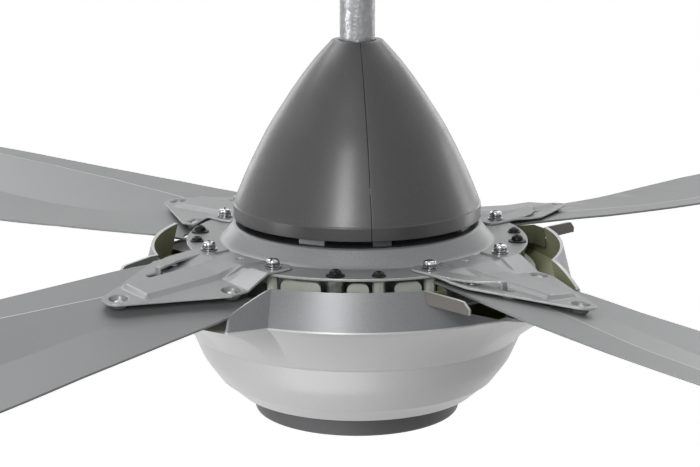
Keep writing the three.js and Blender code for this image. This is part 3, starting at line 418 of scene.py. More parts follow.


# Light grey laid on cut edges and on the blades' ridge crease as a painted highlight.
def edge_highlight_paint():
    f = Finish("edge_highlight_paint", 0.3, 0.3)
    f.speckle(900, (176, 177, 177), (190, 191, 191))
    return f.grain(1500, 0.02, 0.4)


def cap_paint():
    f = Finish("cap_paint", 0.45)
    f.blend(f.noise(1800, 1.0), (62, 62, 64), (73, 73, 75))
    f.rough(150, 0.42, 0.52)
    return f.grain(1800, 0.02, 0.5)


def carrier_paint():
    f = Finish("carrier_paint", 0.55, 0.1)
    f.speckle(80, (162, 167, 158), (174, 178, 170))
    return f.grain(1100, 0.03, 0.5)


def bright_steel():
    f = Finish("bright_steel", 0.22, 1.0)
    f.speckle(500, (150, 151, 154), (190, 191, 194))
    f.rough(700, 0.14, 0.26)
    return f.grain(1800, 0.01, 0.4)


def black_steel():
    f = Finish("black_steel", 0.3, 0.0, 0.15)
    f.speckle(500, (10, 10, 11), (22, 22, 24))
    f.rough(700, 0.26, 0.4)
    return f.grain(1800, 0.01, 0.4)


def galvanised_steel():
    f = Finish("galvanised_steel", 0.4, 0.9)
    f.blend(f.cells(260), (150, 153, 156), (196, 198, 200), 0.0, 0.8)
    f.rough(160, 0.3, 0.5)
    return f.grain(900, 0.02, 0.5)


def cast_metal():
    f = Finish("cast_metal", 0.6, 0.7)
    f.speckle(120, (108, 110, 112), (132, 134, 136))
    return f.grain(700, 0.08, 0.8)


def black_rubber():
    f = Finish("black_rubber", 0.8)
    f.speckle(400, (26, 26, 27), (40, 40, 41))
    return f.grain(1200, 0.03, 0.6)


def bushing_metal():
    f = Finish("bushing_metal", 0.35, 0.8)
    f.speckle(300, (134, 136, 136), (168, 170, 170))
    return f.grain(900, 0.02, 0.5)


def enamelled_copper():
    f = Finish("enamelled_copper", 0.35, 0.8)
    strands = f.noise(60, 2.0, f.stretched((1, 1, 30)))
    f.blend(strands, (140, 76, 40), (196, 120, 70))
    return f.bumps(strands, 0.3, 0.8)


def core_steel():
    f = Finish("core_steel", 0.5, 0.8)
    layers = f.noise(4, 2.0, f.stretched((1, 1, 400)))
    f.blend(layers, (66, 68, 70), (96, 98, 100))
    return f.bumps(layers, 0.1, 0.6)


def magnet_grey():
    f = Finish("magnet_grey", 0.6, 0.4)
    f.speckle(200, (52, 53, 55), (68, 69, 71))
    return f.grain(900, 0.03, 0.5)


# Dark moulded plastic: the controller box's own colour, also used as painted shade on the flange's lip in the
# gap under the upper cover.
def moulded_plastic_and_gap_shade():
    f = Finish("moulded_plastic_and_gap_shade", 0.5)
    f.speckle(300, (38, 39, 41), (50, 51, 53))
    return f.grain(1500, 0.03, 0.6)


ROD_PAINT = hammered_rod_paint()
COVER_PAINT = satin_cover_paint()
FLANGE_PAINT = flange_paint()
ARM_PAINT = arm_paint()
BLADE_PAINT = blade_paint()
SHELL_PAINT = pale_shell_paint()
WALL_SHADE_PAINT = wall_shade_paint()
FIN_PAINT = fin_paint()
OLIVE = olive_inside_paint()
OLIVE_SHADE = olive_shade_paint()
EDGE_HIGHLIGHT = edge_highlight_paint()
CAP_PAINT = cap_paint()
CARRIER_PAINT = carrier_paint()
STEEL = bright_steel()
BLACK = black_steel()
GALVANISED = galvanised_steel()
CAST = cast_metal()
RUBBER = black_rubber()
BUSHING = bushing_metal()
COPPER = enamelled_copper()
CORE = core_steel()
MAGNET = magnet_grey()
PLASTIC_AND_GAP_SHADE = moulded_plastic_and_gap_shade()


# Hanging rod, canopy and upper cover


def make_rod():
    radius, wall, top, bolt_hole = 13.6, 2.4, -21, 8.5
    inner = radius - wall
    bm = spun([[radius, ROD_BOTTOM], [radius, top], [inner, top], [inner, ROD_BOTTOM]])
    bm = cut_away(bm, [placed(cross_bar(bolt_hole, 4 * radius, "X"), 0, 0, PIN)])
    rod = add_piece(bm, "rod_tube", "drop_assembly", [ROD_PAINT], ["downrod"])
    round_edges(rod, 0.6)


def make_canopy():
    top, height, radius, wall, throat, collar = -8, 66, 74, 1.6, 14.2, 19
    radius_shares = [1, 1, 0.94, 0.8, 0.56, 0.3]
    depth_shares = [0, 0.12, 0.34, 0.58, 0.8, 0.95]
    bell = smooth_run([[radius * r, top - height * d] for r, d in zip(radius_shares, depth_shares)])
    foot = top - height
    outer = bell + [[collar, foot], [throat, foot]]
    inner = [[r - wall, z + wall * (top - z) / height] for r, z in bell]
    inner += [[collar - wall, foot + wall], [throat, foot + wall]]
    bm = spun(outer + inner[::-1])
    shell = add_piece(bm, "canopy_bell", "canopy", [ROD_PAINT], ["canopy"])
    round_edges(shell, 0.5, 50)
    make_canopy_band(foot - SEAT, collar)


def make_canopy_band(high, radius):
    """Collar under the canopy, with a hole for the grub screw."""
    height, bore, hole_radius, hole_length, hole_reach = 11, 13.9, 2.9, 10, 18
    low = high - height
    ring = spun([[bore, low], [radius, low], [radius, high], [bore, high]])
    hole = placed(cross_bar(hole_radius, hole_length, "Y"), hole_reach, 0, (low + high) / 2)
    ring = cut_away(ring, [hole])
    band = add_piece(ring, "canopy_band", "canopy", [ROD_PAINT], ["canopy_collar"])
    round_edges(band, 0.8, 50)


# Upper cover, with its slope as shares of the rim's radius and of the height
COVER_RIM_RADIUS = 97
COVER_HEIGHT = 137.5
COVER_SEAM = -83.5
COVER_SHARES = [
    [0.968, 0.127], [0.892, 0.254], [0.806, 0.381], [0.712, 0.508],
    [0.599, 0.635], [0.479, 0.762], [0.343, 0.889],
]


def cover_outline():
    """Section of the upper cover's wall: outside from the rim up, inside back down."""
    wall, slant_wall, top_wall, band, step = 2, 2.5, 2.5, 10, 0.8
    top_radius, top_edge, throat = 20.4, 1, 14.4
    slope = [[COVER_RIM_RADIUS - step, RIM + band + step]]
    slope += [[COVER_RIM_RADIUS * r, RIM + COVER_HEIGHT * h] for r, h in COVER_SHARES]
    slope += [[top_radius, COVER_TOP - top_edge]]
    curve = smooth_run(slope)
    outer = [[COVER_RIM_RADIUS, RIM], [COVER_RIM_RADIUS, RIM + band]] + curve
    outer += [[top_radius - top_edge, COVER_TOP], [throat, COVER_TOP]]
    inner = [[COVER_RIM_RADIUS - wall, RIM], [COVER_RIM_RADIUS - wall, RIM + band]]
    inner += [[r - slant_wall, z] for r, z in curve[2:-3]]
    inner += [[top_radius - wall, COVER_TOP - top_wall], [throat, COVER_TOP - top_wall]]
    return outer + inner[::-1]


def make_cover_half(name, node, start):
    """Half of the upper cover, moved off the seam by half of the seam's gap."""
    gap = 0.22
    bm = placed(part_turn(cover_outline(), TURN / 2, FINE // 2), 0, gap / 2)
    placed(bm, 0, 0, 0, start)
    half = add_piece(bm, name, "drop_assembly", [COVER_PAINT], [node])
    round_edges(half, 0.45, 40)


# Flange and the blocks above it


def make_flange():
    """Ring with its ramp. The lip inside the ramp is dark as painted shade in the gap under the cover, and
    the outer cut edge is light as a painted highlight.
    """
    edge, foot, fillet, top, lip, thick, top_edge = 134, 106.2, 4, 97.5, 80, 2, 1
    ramp = smooth_run([[foot + 6, LEDGE], [foot + 1.6, LEDGE + 0.5], [foot - 1.4, LEDGE + 3.2]], 5)
    outer = [[lip, FLANGE_TOP], [top - thick, FLANGE_TOP], [top, FLANGE_TOP - top_edge]] + ramp[::-1]
    outer += [[edge, LEDGE]]
    under = [[edge, LEDGE - thick], [foot + 1, LEDGE - thick], [foot - fillet, LEDGE + 2]]
    under += [[top - thick, FLANGE_TOP - thick], [lip, FLANGE_TOP - thick]]
    finishes = [FLANGE_PAINT, PLASTIC_AND_GAP_SHADE, EDGE_HIGHLIGHT]
    bm = spun(outer + under)
    plate = add_piece(bm, "flange_plate", "rotor", finishes, ["rotor_flange"])
    # Top faces of the lip inside the ramp get the dark plastic colour as painted shade, and faces at the
    # outer cut edge get a painted highlight.
    for face in plate.data.polygons:
        radius = math.hypot(face.center.x, face.center.y) / MM
        if radius < top - thick and face.normal.z > 0.5:
            face.material_index = finishes.index(PLASTIC_AND_GAP_SHADE)
        if radius > edge - 0.2:
            face.material_index = finishes.index(EDGE_HIGHLIGHT)
    round_edges(plate, 0.4, 25)


def make_gap_blocks():
    """Blocks seen in the gap under the upper cover: a pale and a dark one in each quarter."""
    low, high, inner, outer, steps = FLANGE_TOP, RIM - 0.7, 84, 91, 6
    outline = [[inner, low], [outer, low], [outer, high], [inner, high]]
    for name, azimuth, width, finish in (("pale", -112, 13, FLANGE_PAINT), ("dark", -78, 9, CAP_PAINT)):
        parts = []
        for index in ARMS:
            block = part_turn(outline, math.radians(width), steps)
            parts.append(placed(block, 0, 0, 0, azimuth - width / 2 + QUARTER * index))
        blocks = add_piece(joined(parts), f"{name}_gap_blocks", "rotor", [finish], ())
        round_edges(blocks, 0.4, 40)


# Lower cover

SHELL_WALL = 2.5

# Places on the lower cover as [radius, drop below the rim], and angles from the arm at its pocket
WALL_TOP = [161.7, 21.6]
SHOULDER = [169.1, 50]
FIN_HIGH_ANGLE = -25.8
SILL_ANGLE = -4
FLAP_END_ANGLE = 18.8
FLAP_ANGLE = 25
SILL_DROP = 31
END_DROP = 40
GROOVE_DROP = 88.8

# How far a pocket's flap swells out, and the share of it at angles from the arm
BULGE = 23
BULGE_SHARES = [[-12, 0], [-4, 0.1], [0, 0.8], [6, 0.98], [FLAP_END_ANGLE, 1], [FLAP_ANGLE, 0]]

# Radius inside which the sheet has nothing of a pocket
POCKET_REACH = 100


def share_between(x, knots):
    """Value at x on straight lines through the knots, and nothing outside them."""
    return on_line(x, knots) if knots[0][0] < x < knots[-1][0] else 0


def angle_from_arm(x, y):
    azimuth = math.degrees(math.atan2(y, x))
    return (azimuth - FIRST_ARM + QUARTER / 2) % QUARTER - QUARTER / 2


def shell_sheet():
    """Outside of the lower cover as one open sheet, from the wall's top down to the floor's hole."""
    rows, floor_drop, floor_hole = 12, RIM - SHELL_FLOOR, 58
    steps = [i / rows for i in (*range(rows), rows - 0.5)]
    wall = [[a + (b - a) * t for a, b in zip(WALL_TOP, SHOULDER)] for t in steps]
    under = smooth_run([SHOULDER, [160, 56.5], [149, 67], [139.5, 78.5], [132, GROOVE_DROP]], 5)
    bowl = smooth_run([[130.8, 89.6], [127, 99], [121.5, 111], [110, 127]], 5)
    foot = smooth_run([[110, 127], [104.5, 131.2], [95.6, floor_drop]])[1:]
    drops = wall + under + bowl + foot + [[floor_hole, floor_drop]]
    return spun([[r, RIM - d] for r, d in drops], COVER_STEPS, False)


def swell(bm):
    """Pushes the sheet out at each pocket, most at the shoulder and not at all at the groove."""
    shoulder, groove, fade_power = RIM - SHOULDER[1], RIM - GROOVE_DROP, 1.5
    for vert in bm.verts:
        x, y, z = vert.co / MM
        fade = share(z, groove, shoulder) ** fade_power
        grown = 1 + BULGE * share_between(angle_from_arm(x, y), BULGE_SHARES) * fade / math.hypot(x, y)
        vert.co.x *= grown
        vert.co.y *= grown


def cut_through_axis(bm, angle):
    """Adds a line of vertices along the sheet at an angle from each arm."""
    for index in (0, 1):
        a = math.radians(arm_azimuth(index) + angle)
        bmesh.ops.bisect_plane(
            bm, geom=bm.verts[:] + bm.edges[:] + bm.faces[:], dist=MERGE,
            plane_co=(0, 0, 0), plane_no=(-math.sin(a), math.cos(a), 0),
        )


def pocket_outline():
    """Corners of a pocket's opening, as [across the arm, drop]."""
    def across(angle, radius=WALL_TOP[0]):
        return radius * math.sin(math.radians(angle))
    end = across(FLAP_END_ANGLE, WALL_TOP[0] + BULGE)
    return [
        [across(FIN_HIGH_ANGLE), 0],
        [across(FIN_HIGH_ANGLE), SILL_DROP],
        [across(SILL_ANGLE), SHOULDER[1]],
        [end, SHOULDER[1]],
        [end, END_DROP],
        [across(FLAP_ANGLE), WALL_TOP[1]],
        [across(FLAP_ANGLE), 0],
    ]


def inside(point, corners):
    """Whether a point lies in a polygon."""
    x, y = point
    found = False
    for (x0, y0), (x1, y1) in zip(corners, corners[1:] + corners[:1]):
        if (y0 > y) != (y1 > y) and x < x0 + (x1 - x0) * (y - y0) / (y1 - y0):
            found = not found
    return found


def arm_place(co, index):
    """A point as [along the arm, across it, drop] in mm."""
    a = math.radians(arm_azimuth(index))
    x, y, z = co / MM
    return x * math.cos(a) + y * math.sin(a), y * math.cos(a) - x * math.sin(a), RIM - z


def open_pocket(bm, index):
    """Cuts one pocket's opening out of the sheet."""
    beside, below = 90, 3
    a = math.radians(arm_azimuth(index))
    side = Vector((-math.sin(a), math.cos(a), 0))
    corners = pocket_outline()
    for (v0, d0), (v1, d1) in zip(corners, corners[1:] + corners[:1]):
        cut = []
        for face in bm.faces:
            along, across, drop = arm_place(face.calc_center_median(), index)
            if along > POCKET_REACH and abs(across) < beside and drop < SHOULDER[1] + below:
                cut.append(face)
        bmesh.ops.bisect_plane(
            bm, geom=with_corners(cut), dist=MERGE, plane_co=side * v0 * MM + Vector((0, 0, (RIM - d0) * MM)),
            plane_no=side * (d1 - d0) + Vector((0, 0, 1)) * (v1 - v0),
        )
    gone = []
    for face in bm.faces:
        along, across, drop = arm_place(face.calc_center_median(), index)
        if along > POCKET_REACH and drop < SHOULDER[1] and inside((across, drop), corners):
            gone.append(face)
    bmesh.ops.delete(bm, geom=gone, context="FACES")


def make_lower_cover():
    """Bowl with its four pockets. Its wall is painted darker as painted shade, down to a thin pale band at
    the shoulder kept as a painted highlight.
    """
    lip = 0.8
    bm = shell_sheet()
    for angle in (FIN_HIGH_ANGLE, FLAP_END_ANGLE, FLAP_ANGLE):
        cut_through_axis(bm, angle)
    swell(bm)
    for index in ARMS:
        open_pocket(bm, index)
    bmesh.ops.remove_doubles(bm, verts=bm.verts, dist=MERGE)
    add_shelves(bm)
    add_fins(bm)
    bmesh.ops.recalc_face_normals(bm, faces=bm.faces)
    # The wall's darker grey is painted shade, and the sheet's cut edges get a painted highlight.
    outer, inner, rim = [SHELL_PAINT, WALL_SHADE_PAINT, FIN_PAINT], [OLIVE, OLIVE, WALL_SHADE_PAINT], [EDGE_HIGHLIGHT] * 3
    shell = add_piece(bm, "cover_bowl", "rotor", outer + inner + rim, ["lower_cover"])
    # Outside faces above the shoulder, except a pale band of lip height just above it, get the darker grey as
    # painted shade; the band stays pale as a painted highlight.
    for face in shell.data.polygons:
        if face.material_index == 0 and face.center.z / MM > RIM - SHOULDER[1] + lip:
            face.material_index = outer.index(WALL_SHADE_PAINT)
    thicken(shell, SHELL_WALL, rim=len(outer + inner), lining=len(outer))
    round_edges(shell, 0.5, 28)


SHELF_RADIUS = 160
SHELF_START = 0
SKIRT_DROP = 10


def middle_of(edge):
    """Middle of an edge in mm."""
    return (edge.verts[0].co + edge.verts[1].co) / 2 / MM


def steepness(edge):
    """One for an upright edge, and nothing for a level one."""
    return abs(edge.verts[0].co.z - edge.verts[1].co.z) / edge.calc_length()


def add_shelves(bm):
    """Turns each pocket's lower edge inwards as a shelf, and down at the shelf's inner edge."""
    margin, most_level = 1, 0.6
    sills = []
    for edge in [e for e in bm.edges if e.is_boundary]:
        x, y, z = middle_of(edge)
        low = SILL_DROP - margin < RIM - z < SHOULDER[1] + margin
        if SHELF_START < angle_from_arm(x, y) < FLAP_END_ANGLE and low and steepness(edge) < most_level:
            sills.append(edge)
    shelf_edges, verts, _ = drawn_out(bm, sills)
    for vert in verts:
        inwards = SHELF_RADIUS * MM / math.hypot(vert.co.x, vert.co.y)
        vert.co.x *= inwards
        vert.co.y *= inwards
    _, verts, _ = drawn_out(bm, shelf_edges)
    bmesh.ops.translate(bm, vec=(0, 0, -SKIRT_DROP * MM), verts=verts)


FIN_RADIUS = 196
FIN_ANGLE = -19.3
FIN_TOP_DROP = 24
FIN_FOOT_DROP = 33
FIN_STEPS = 8
FIN_FINISH = 2


def fin_edges(bm, index):
    """Open upright edges at one pocket's high side, where its fin starts."""
    margin, angle_margin, least_steep = 0.2, 0.5, 0.5
    ends = []
    for edge in [e for e in bm.edges if e.is_boundary]:
        places = [arm_place(v.co, index) for v in edge.verts]
        x, y, _ = middle_of(edge)
        high = all(p[0] > POCKET_REACH and p[2] < SILL_DROP + margin for p in places)
        here = abs(angle_from_arm(x, y) - FIN_HIGH_ANGLE) < angle_margin
        if high and here and steepness(edge) > least_steep:
            ends.append(edge)
    return ends


def add_fins(bm):
    """Bends the wall's end at each pocket's high side outwards into an upright fin with a round corner."""
    root_gap, corner_start, corner_drop = 1.2, 0.8, 5
    for index in ARMS:
        start = on_circle(WALL_TOP[0] + root_gap, arm_azimuth(index) + FIN_HIGH_ANGLE)
        end = on_circle(FIN_RADIUS, arm_azimuth(index) + FIN_ANGLE)
        ends = fin_edges(bm, index)
        for step in range(1, FIN_STEPS + 1):
            way = step / FIN_STEPS
            corner = share(way, corner_start, 1)
            rounding = corner_drop * (1 - math.sqrt(1 - corner ** 2))
            top = WALL_TOP[1] + (FIN_TOP_DROP - WALL_TOP[1]) * way + rounding
            foot = SILL_DROP + (FIN_FOOT_DROP - SILL_DROP) * way
            x, y = (a + (b - a) * way for a, b in zip(start, end))
            ends, verts, faces = drawn_out(bm, ends)
            for face in faces:
                face.material_index = FIN_FINISH
            heights = [v.co.z for v in verts]
            for vert, height in zip(verts, heights):
                drop = top + (foot - top) * share(height, max(heights), min(heights))
                vert.co = Vector((x * MM, y * MM, (RIM - drop) * MM))


def make_shade_sheets():
    """Upright dark olive sheets inside the pockets, just under each blade's high edge, standing for the
    painted shade there.
    """
    line, low, high, thickness = [[135, -44], [150.5, -51.5], [146.5, -68]], RIM - 39, RIM - 23.6, 1.4
    for index in ARMS:
        bm = bmesh.new()
        verts = [bm.verts.new((x * MM, y * MM, high * MM)) for x, y in line]
        edges = [bm.edges.new(pair) for pair in zip(verts, verts[1:])]
        _, low_verts, _ = drawn_out(bm, edges)
        bmesh.ops.translate(bm, vec=(0, 0, (low - high) * MM), verts=low_verts)
        bmesh.ops.recalc_face_normals(bm, faces=bm.faces)
        placed(bm, 0, 0, 0, arm_azimuth(index))
        shade_sheet = add_piece(bm, f"pocket_shade_sheet_{index + 1}", "rotor", [OLIVE_SHADE], ())
        thicken(shade_sheet, thickness)
        round_edges(shade_sheet, 0.3, 60, 2)


def make_cap():
    radius, foot_radius, height, wall, corner = 84, 81.7, 18, 2, 4
    top = SHELL_FLOOR - SEAT
    foot = top - height
    bend = [[foot_radius - 5, foot], [foot_radius - 1.2, foot + 1.2], [foot_radius, foot + corner]]
    outer = [[0, foot]] + smooth_run(bend) + [[radius, top]]
    inner = [[radius - wall, top], [foot_radius - wall, foot + corner]]
    inner += [[foot_radius - 6, foot + wall], [0, foot + wall]]
    bm = turned(outer + inner, FINE)
    cap = add_piece(bm, "cap_dish", "rotor", [CAP_PAINT], ["bottom_cap"])
    round_edges(cap, 0.5, 40)


# Blades


# The blade's two edges as [reach, high side, its height, low side, its height]
BLADE_ROWS = [
    [149, -52, -449.8, 36, -461.3], [185, -54, -451.5, 60, -467.4], [245, -60, -455.4, 64, -473.3],
    [400, -66, -462.7, 84, -485.8], [690, -46, -470, 100, -495],
]
# The ridge crease as [reach, across], and how far across the valley crease lies
RIDGE = [[185, -14], [235, -20], [307, -33], [385, -41], [485, -43.5], [700, -40]]
VALLEY = 17
RIDGE_RISE = [[185, 0], [245, 0.8], [400, 1.5], [690, 1.5]]
VALLEY_DROP = [[185, 0.2], [245, 1.4], [400, 6.5], [690, 4]]
UNDER_ARM_RISE = 1.6
UNDER_ARM_FADE = [230, 330]

# Reach at which the folds start and at which the root ends, and how far across its stretching changes
FOLD_START = 185
ROOT_END = 149
ROOT_LINES = [-50, 0, 10]


def on_line(x, points):
    """Value at x on the straight lines through [x, value] points, carried on past both ends."""
    pairs = list(zip(points, points[1:]))
    (x0, y0), (x1, y1) = next((pair for pair in pairs if x <= pair[1][0]), pairs[-1])
    return y0 + (y1 - y0) * (x - x0) / (x1 - x0)


def on_curve(x, points):
    """Value at x on an even curve through [x, value] points, carried on straight past both ends."""
    pairs = list(zip(points, points[1:]))
    slopes = [(y1 - y0) / (x1 - x0) for (x0, y0), (x1, y1) in pairs]
    tangents = [slopes[0]] + [(a + b) / 2 for a, b in zip(slopes, slopes[1:])] + [slopes[-1]]
    if x <= points[0][0]:
        return points[0][1] + tangents[0] * (x - points[0][0])
    if x >= points[-1][0]:
        return points[-1][1] + tangents[-1] * (x - points[-1][0])
    i = next(i for i, pair in enumerate(pairs) if x <= pair[1][0])
    (x0, y0), (x1, y1) = pairs[i]
    t, width = (x - x0) / (x1 - x0), x1 - x0
    start, end = tangents[i] * width, tangents[i + 1] * width
    return (y0 * (1 + 2 * t) * (1 - t) ** 2 + start * t * (1 - t) ** 2
            + y1 * t * t * (3 - 2 * t) + end * t * t * (t - 1))


def blade_height(reach, across):
    """Top of the blade: gently down to the ridge, steeper to the valley, and gently to the low edge."""
    columns = [[[row[0], row[i]] for row in BLADE_ROWS] for i in (1, 2, 3, 4)]
    high, high_z, low, low_z = (on_curve(reach, column) for column in columns)
    ridge = on_line(reach, RIDGE)
    slope = (low_z - high_z) / (low - high)
    raised = UNDER_ARM_RISE * (1 - soft_share(reach, *UNDER_ARM_FADE))
    ridge_z = high_z + slope * (ridge - high) + on_curve(reach, RIDGE_RISE) + raised
    valley_z = high_z + slope * (VALLEY - high) - on_curve(reach, VALLEY_DROP) + raised
    return on_line(across, [[high, high_z], [ridge, ridge_z], [VALLEY, valley_z], [low, low_z]])


def stretch_root(bm):
    """Lengthens the blade's root: its high side towards the hub, its low side along the pocket's flap."""
    longer, high_longer, low_wider, high_narrower = 5, 12, 0.45, 0.14
    high_line, middle_line, low_line = ROOT_LINES
    for vert in bm.verts:
        reach, across = vert.co.x / MM, vert.co.y / MM
        root = share(reach, FOLD_START, ROOT_END)
        high = share(across, middle_line, high_line)
        low = share(across, middle_line, low_line)
        vert.co.x -= root * (longer + high_longer * high) * MM
        vert.co.y *= 1 + root * (low_wider * low - high_narrower * high)


def make_blade(index):
    """Takes the blade's upper face from its CAD node, folds it and gives it its thickness."""
    thickness, top_slope, beside = 1.6, 0.5, 0.9
    inner, outer, half_width, first_line, spacing = 100, 700, 100, 165, 15
    node = f"blade_{index + 1}"
    bm = bmesh.new()
    bm.from_mesh(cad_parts[node].data)
    bmesh.ops.remove_doubles(bm, verts=bm.verts, dist=MERGE)
    bm.normal_update()
    bmesh.ops.delete(bm, geom=[f for f in bm.faces if f.normal.z < top_slope], context="FACES")
    placed(bm, 0, 0, 0, -arm_azimuth(index))
    for aside in (-beside, 0, beside):
        cut_line(bm, [inner, VALLEY + aside], [outer, VALLEY + aside])
        for (x0, y0), (x1, y1) in zip(RIDGE, RIDGE[1:]):
            cut_line(bm, [x0, y0 + aside], [x1, y1 + aside])
    for reach in range(first_line, outer, spacing):
        cut_line(bm, [reach, -half_width], [reach, half_width])
    for across in ROOT_LINES:
        cut_line(bm, [inner, across], [outer, across])
    stretch_root(bm)
    for vert in bm.verts:
        vert.co.z = blade_height(vert.co.x / MM, vert.co.y / MM) * MM
    placed(bm, 0, 0, 0, arm_azimuth(index))
    finishes = [BLADE_PAINT, EDGE_HIGHLIGHT]
    sheet = add_piece(bm, f"blade_sheet_{index + 1}", "rotor", finishes, [node])
    # A narrow strip on the high side of the ridge crease gets a painted highlight.
    for face in sheet.data.polygons:
        reach, across, _ = arm_place(face.center, index)
        if reach > FOLD_START and -beside < across - on_line(reach, RIDGE) < 0:
            face.material_index = finishes.index(EDGE_HIGHLIGHT)
    thicken(sheet, thickness)
    round_edges(sheet, 0.3, 60, 2)


# Blade arms

HUB_REACH = 110.5
PAD_TOP = RIM - 16.6
STEP_START = 131
STEP_END = 150
ARM_TIP = 243
ARM_HALF = 46.5
ARM_THICK = 1.8
TIP_RADIUS = 11.5
RIB_SIDE = 13
RIB_LOW_SIDE = 12
RIB_SLANT = 4
RIB_END = 214
SOFT_LINE = 0.45
GROOVE_START = 110
SCREW_REACH = 124.7
SCREW_ANGLE = 17.5

# Rivets through the arm as [reach, across, depth of the dimple round it]
RIVETS = [[231, 0, 4.8], [158, 37.5, 4.4], [157, -32.5, 1.6]]

# Creases of the arm's sheet as pairs of [reach, across]
CREASES = [
    *[[[u, -60], [u, 60]] for u in (STEP_START, STEP_END)],
    *[[[100, -v], [250, -v]] for v in (RIB_SIDE, RIB_SIDE + RIB_SLANT)],
    *[[[100, v], [250, v]] for v in (RIB_LOW_SIDE, RIB_LOW_SIDE + RIB_SLANT)],
    *[[[u, -60], [u, 60]] for u in (RIB_END, RIB_END + RIB_SLANT)],
    [[GROOVE_START, 28.4], [STEP_START, 26.5]],
    [[GROOVE_START, 27.4], [STEP_START, 25.5]],
    [[GROOVE_START, 18.4], [STEP_START, 17]],
    [[GROOVE_START, 19.4], [STEP_START, 18]],
    [[STEP_START, 26.5], [STEP_END, 23.4]],
    [[STEP_START, 25.5], [STEP_END, 22.4]],
    [[GROOVE_START, -28.4], [STEP_START, -27.5]],
    [[GROOVE_START, -27.4], [STEP_START, -26.5]],
    [[GROOVE_START, -19.4], [STEP_START, -20]],
    [[GROOVE_START, -20.4], [STEP_START, -21]],
]


def share(x, start, end):
    """Nothing before start, one after end, and a straight rise between."""
    return min(max((x - start) / (end - start), 0), 1)


def soft_share(x, start, end):
    """The same share, which starts and ends gently."""
    t = share(x, start, end)
    return t * t * (3 - 2 * t)


def groove_depth(reach, across):
    """Shallow groove beside each ear, which runs down the step on the low side."""
    depth, wall = 1.3, 1
    pad = share(reach, GROOVE_START, STEP_START)
    outer = 28.4 - 1.9 * pad - 3.1 * share(reach, STEP_START, STEP_END)
    inner = 18.4 - 1.4 * pad
    fade = share(reach, STEP_END, STEP_START + 8) if across > 0 else share(reach, 125, 121)
    away = abs(across)
    return depth * fade * share(away, inner, inner + wall) * share(away, outer, outer - wall)


def arm_height(reach, across):
    """Top of the arm's sheet in mm, without its dimples."""
    level, level_reach, outward_slope, across_slope = RIM - 23.2, 160, 0.052, 0.088
    rib_height, rib_loss = 3.4, 0.6
    slope = level - (reach - level_reach) * outward_slope - across * across_slope
    crown = rib_height - rib_loss * share(across, -RIB_SIDE, RIB_LOW_SIDE)
    beside = max(-RIB_SIDE - across, across - RIB_LOW_SIDE)
    rib = crown * (1 - share(beside, 0, RIB_SLANT)) * (1 - share(reach, RIB_END, RIB_END + RIB_SLANT))
    step = share(reach, STEP_START, STEP_END)
    return PAD_TOP + (slope + rib - PAD_TOP) * step - groove_depth(reach, across)


def dimple_depth(reach, across):
    """How far the sheet is pressed down round each rivet."""
    floor_radius, rim_radius = 4.2, 7.6
    deepest = 0
    for u, v, depth in RIVETS:
        away = math.hypot(reach - u, across - v)
        deepest = max(deepest, depth * (1 - soft_share(away, floor_radius, rim_radius)))
    return deepest


def cut_line(bm, start, end, geom=None, clear=False):
    """Cuts a flat sheet along a line between two places in mm, and may drop what lies right of it."""
    (x0, y0), (x1, y1) = start, end
    bmesh.ops.bisect_plane(
        bm, geom=geom or bm.verts[:] + bm.edges[:] + bm.faces[:], dist=MERGE,
        plane_co=(x0 * MM, y0 * MM, 0), plane_no=(y1 - y0, x0 - x1, 0), clear_outer=clear,
    )


def trim(bm, points):
    """Cuts a flat sheet back to a convex outline, given anticlockwise in mm."""
    for start, end in zip(points, points[1:] + points[:1]):
        cut_line(bm, start, end, clear=True)


def near(bm, x, y, half):
    """Faces round a place, with their edges and vertices."""
    faces = []
    for face in bm.faces:
        middle = face.calc_center_median()
        if abs(middle.x / MM - x) < half and abs(middle.y / MM - y) < half:
            faces.append(face)
    return with_corners(faces)


def refine(bm, x, y, half, spacing):
    """Adds close lines in both directions round a place, for a dimple to be pressed there."""
    shift = 0.37
    steps = int(half / spacing)
    for i in range(-steps, steps + 1):
        away = (i + shift) * spacing
        cut_line(bm, [x + away, y - half], [x + away, y + half], near(bm, x, y, half))
        cut_line(bm, [x - half, y + away], [x + half, y + away], near(bm, x, y, half))


def arc(x, y, radius, start, end, count):
    """Points along part of a circle, between two angles in degrees."""
    points = [on_circle(radius, start + (end - start) * i / count) for i in range(count + 1)]
    return [[x + across, y + up] for across, up in points]


def arm_outline():
    """Convex outline of the arm, without the curve at the hub."""
    half = [[80, -ARM_HALF], [116, -ARM_HALF]] + arc(156, -40.5, 9.5, -95, -62, 5)
    tip = arc(ARM_TIP - TIP_RADIUS, 0, TIP_RADIUS, -61, 61, 12)
    return half + tip + [[x, -y] for x, y in half[::-1]]


def round_ears(bm):
    """Rounds the two corners where the arm's sides meet the curve at the hub."""
    corner, ear_reach, ear_across, ear_half = 8, 104, 42, 9.5
    middle = ARM_HALF - corner
    reach = math.sqrt((HUB_REACH + corner) ** 2 - middle ** 2)
    for side in (-1, 1):
        bend = arc(reach, side * middle, corner, 90 * side, 200 * side, 7)[::side]
        for start, end in zip(bend, bend[1:]):
            cut_line(bm, start, end, near(bm, ear_reach, side * ear_across, ear_half), clear=True)


def punch(bm, corners):
    """Cuts a hole with the given corners out of a flat sheet."""
    margin = 3
    xs = [x for x, _ in corners]
    ys = [y for _, y in corners]
    x, y = (min(xs) + max(xs)) / 2, (min(ys) + max(ys)) / 2
    half = max(max(xs) - x, max(ys) - y) + margin
    for start, end in zip(corners, corners[1:] + corners[:1]):
        cut_line(bm, start, end, near(bm, x, y, half))
    gone = [f for f in bm.faces if inside(f.calc_center_median().to_2d() / MM, corners)]
    bmesh.ops.delete(bm, geom=gone, context="FACES")


def punch_round(bm, x, y, radius):
    punch(bm, arc(x, y, radius, 0, 330, 11))


def slot_corners(x, y, length, width):
    """Outline of a slot with round ends."""
    radius = width / 2
    reach = length / 2 - radius
    return arc(x + reach, y, radius, -90, 90, 6) + arc(x - reach, y, radius, 90, 270, 6)


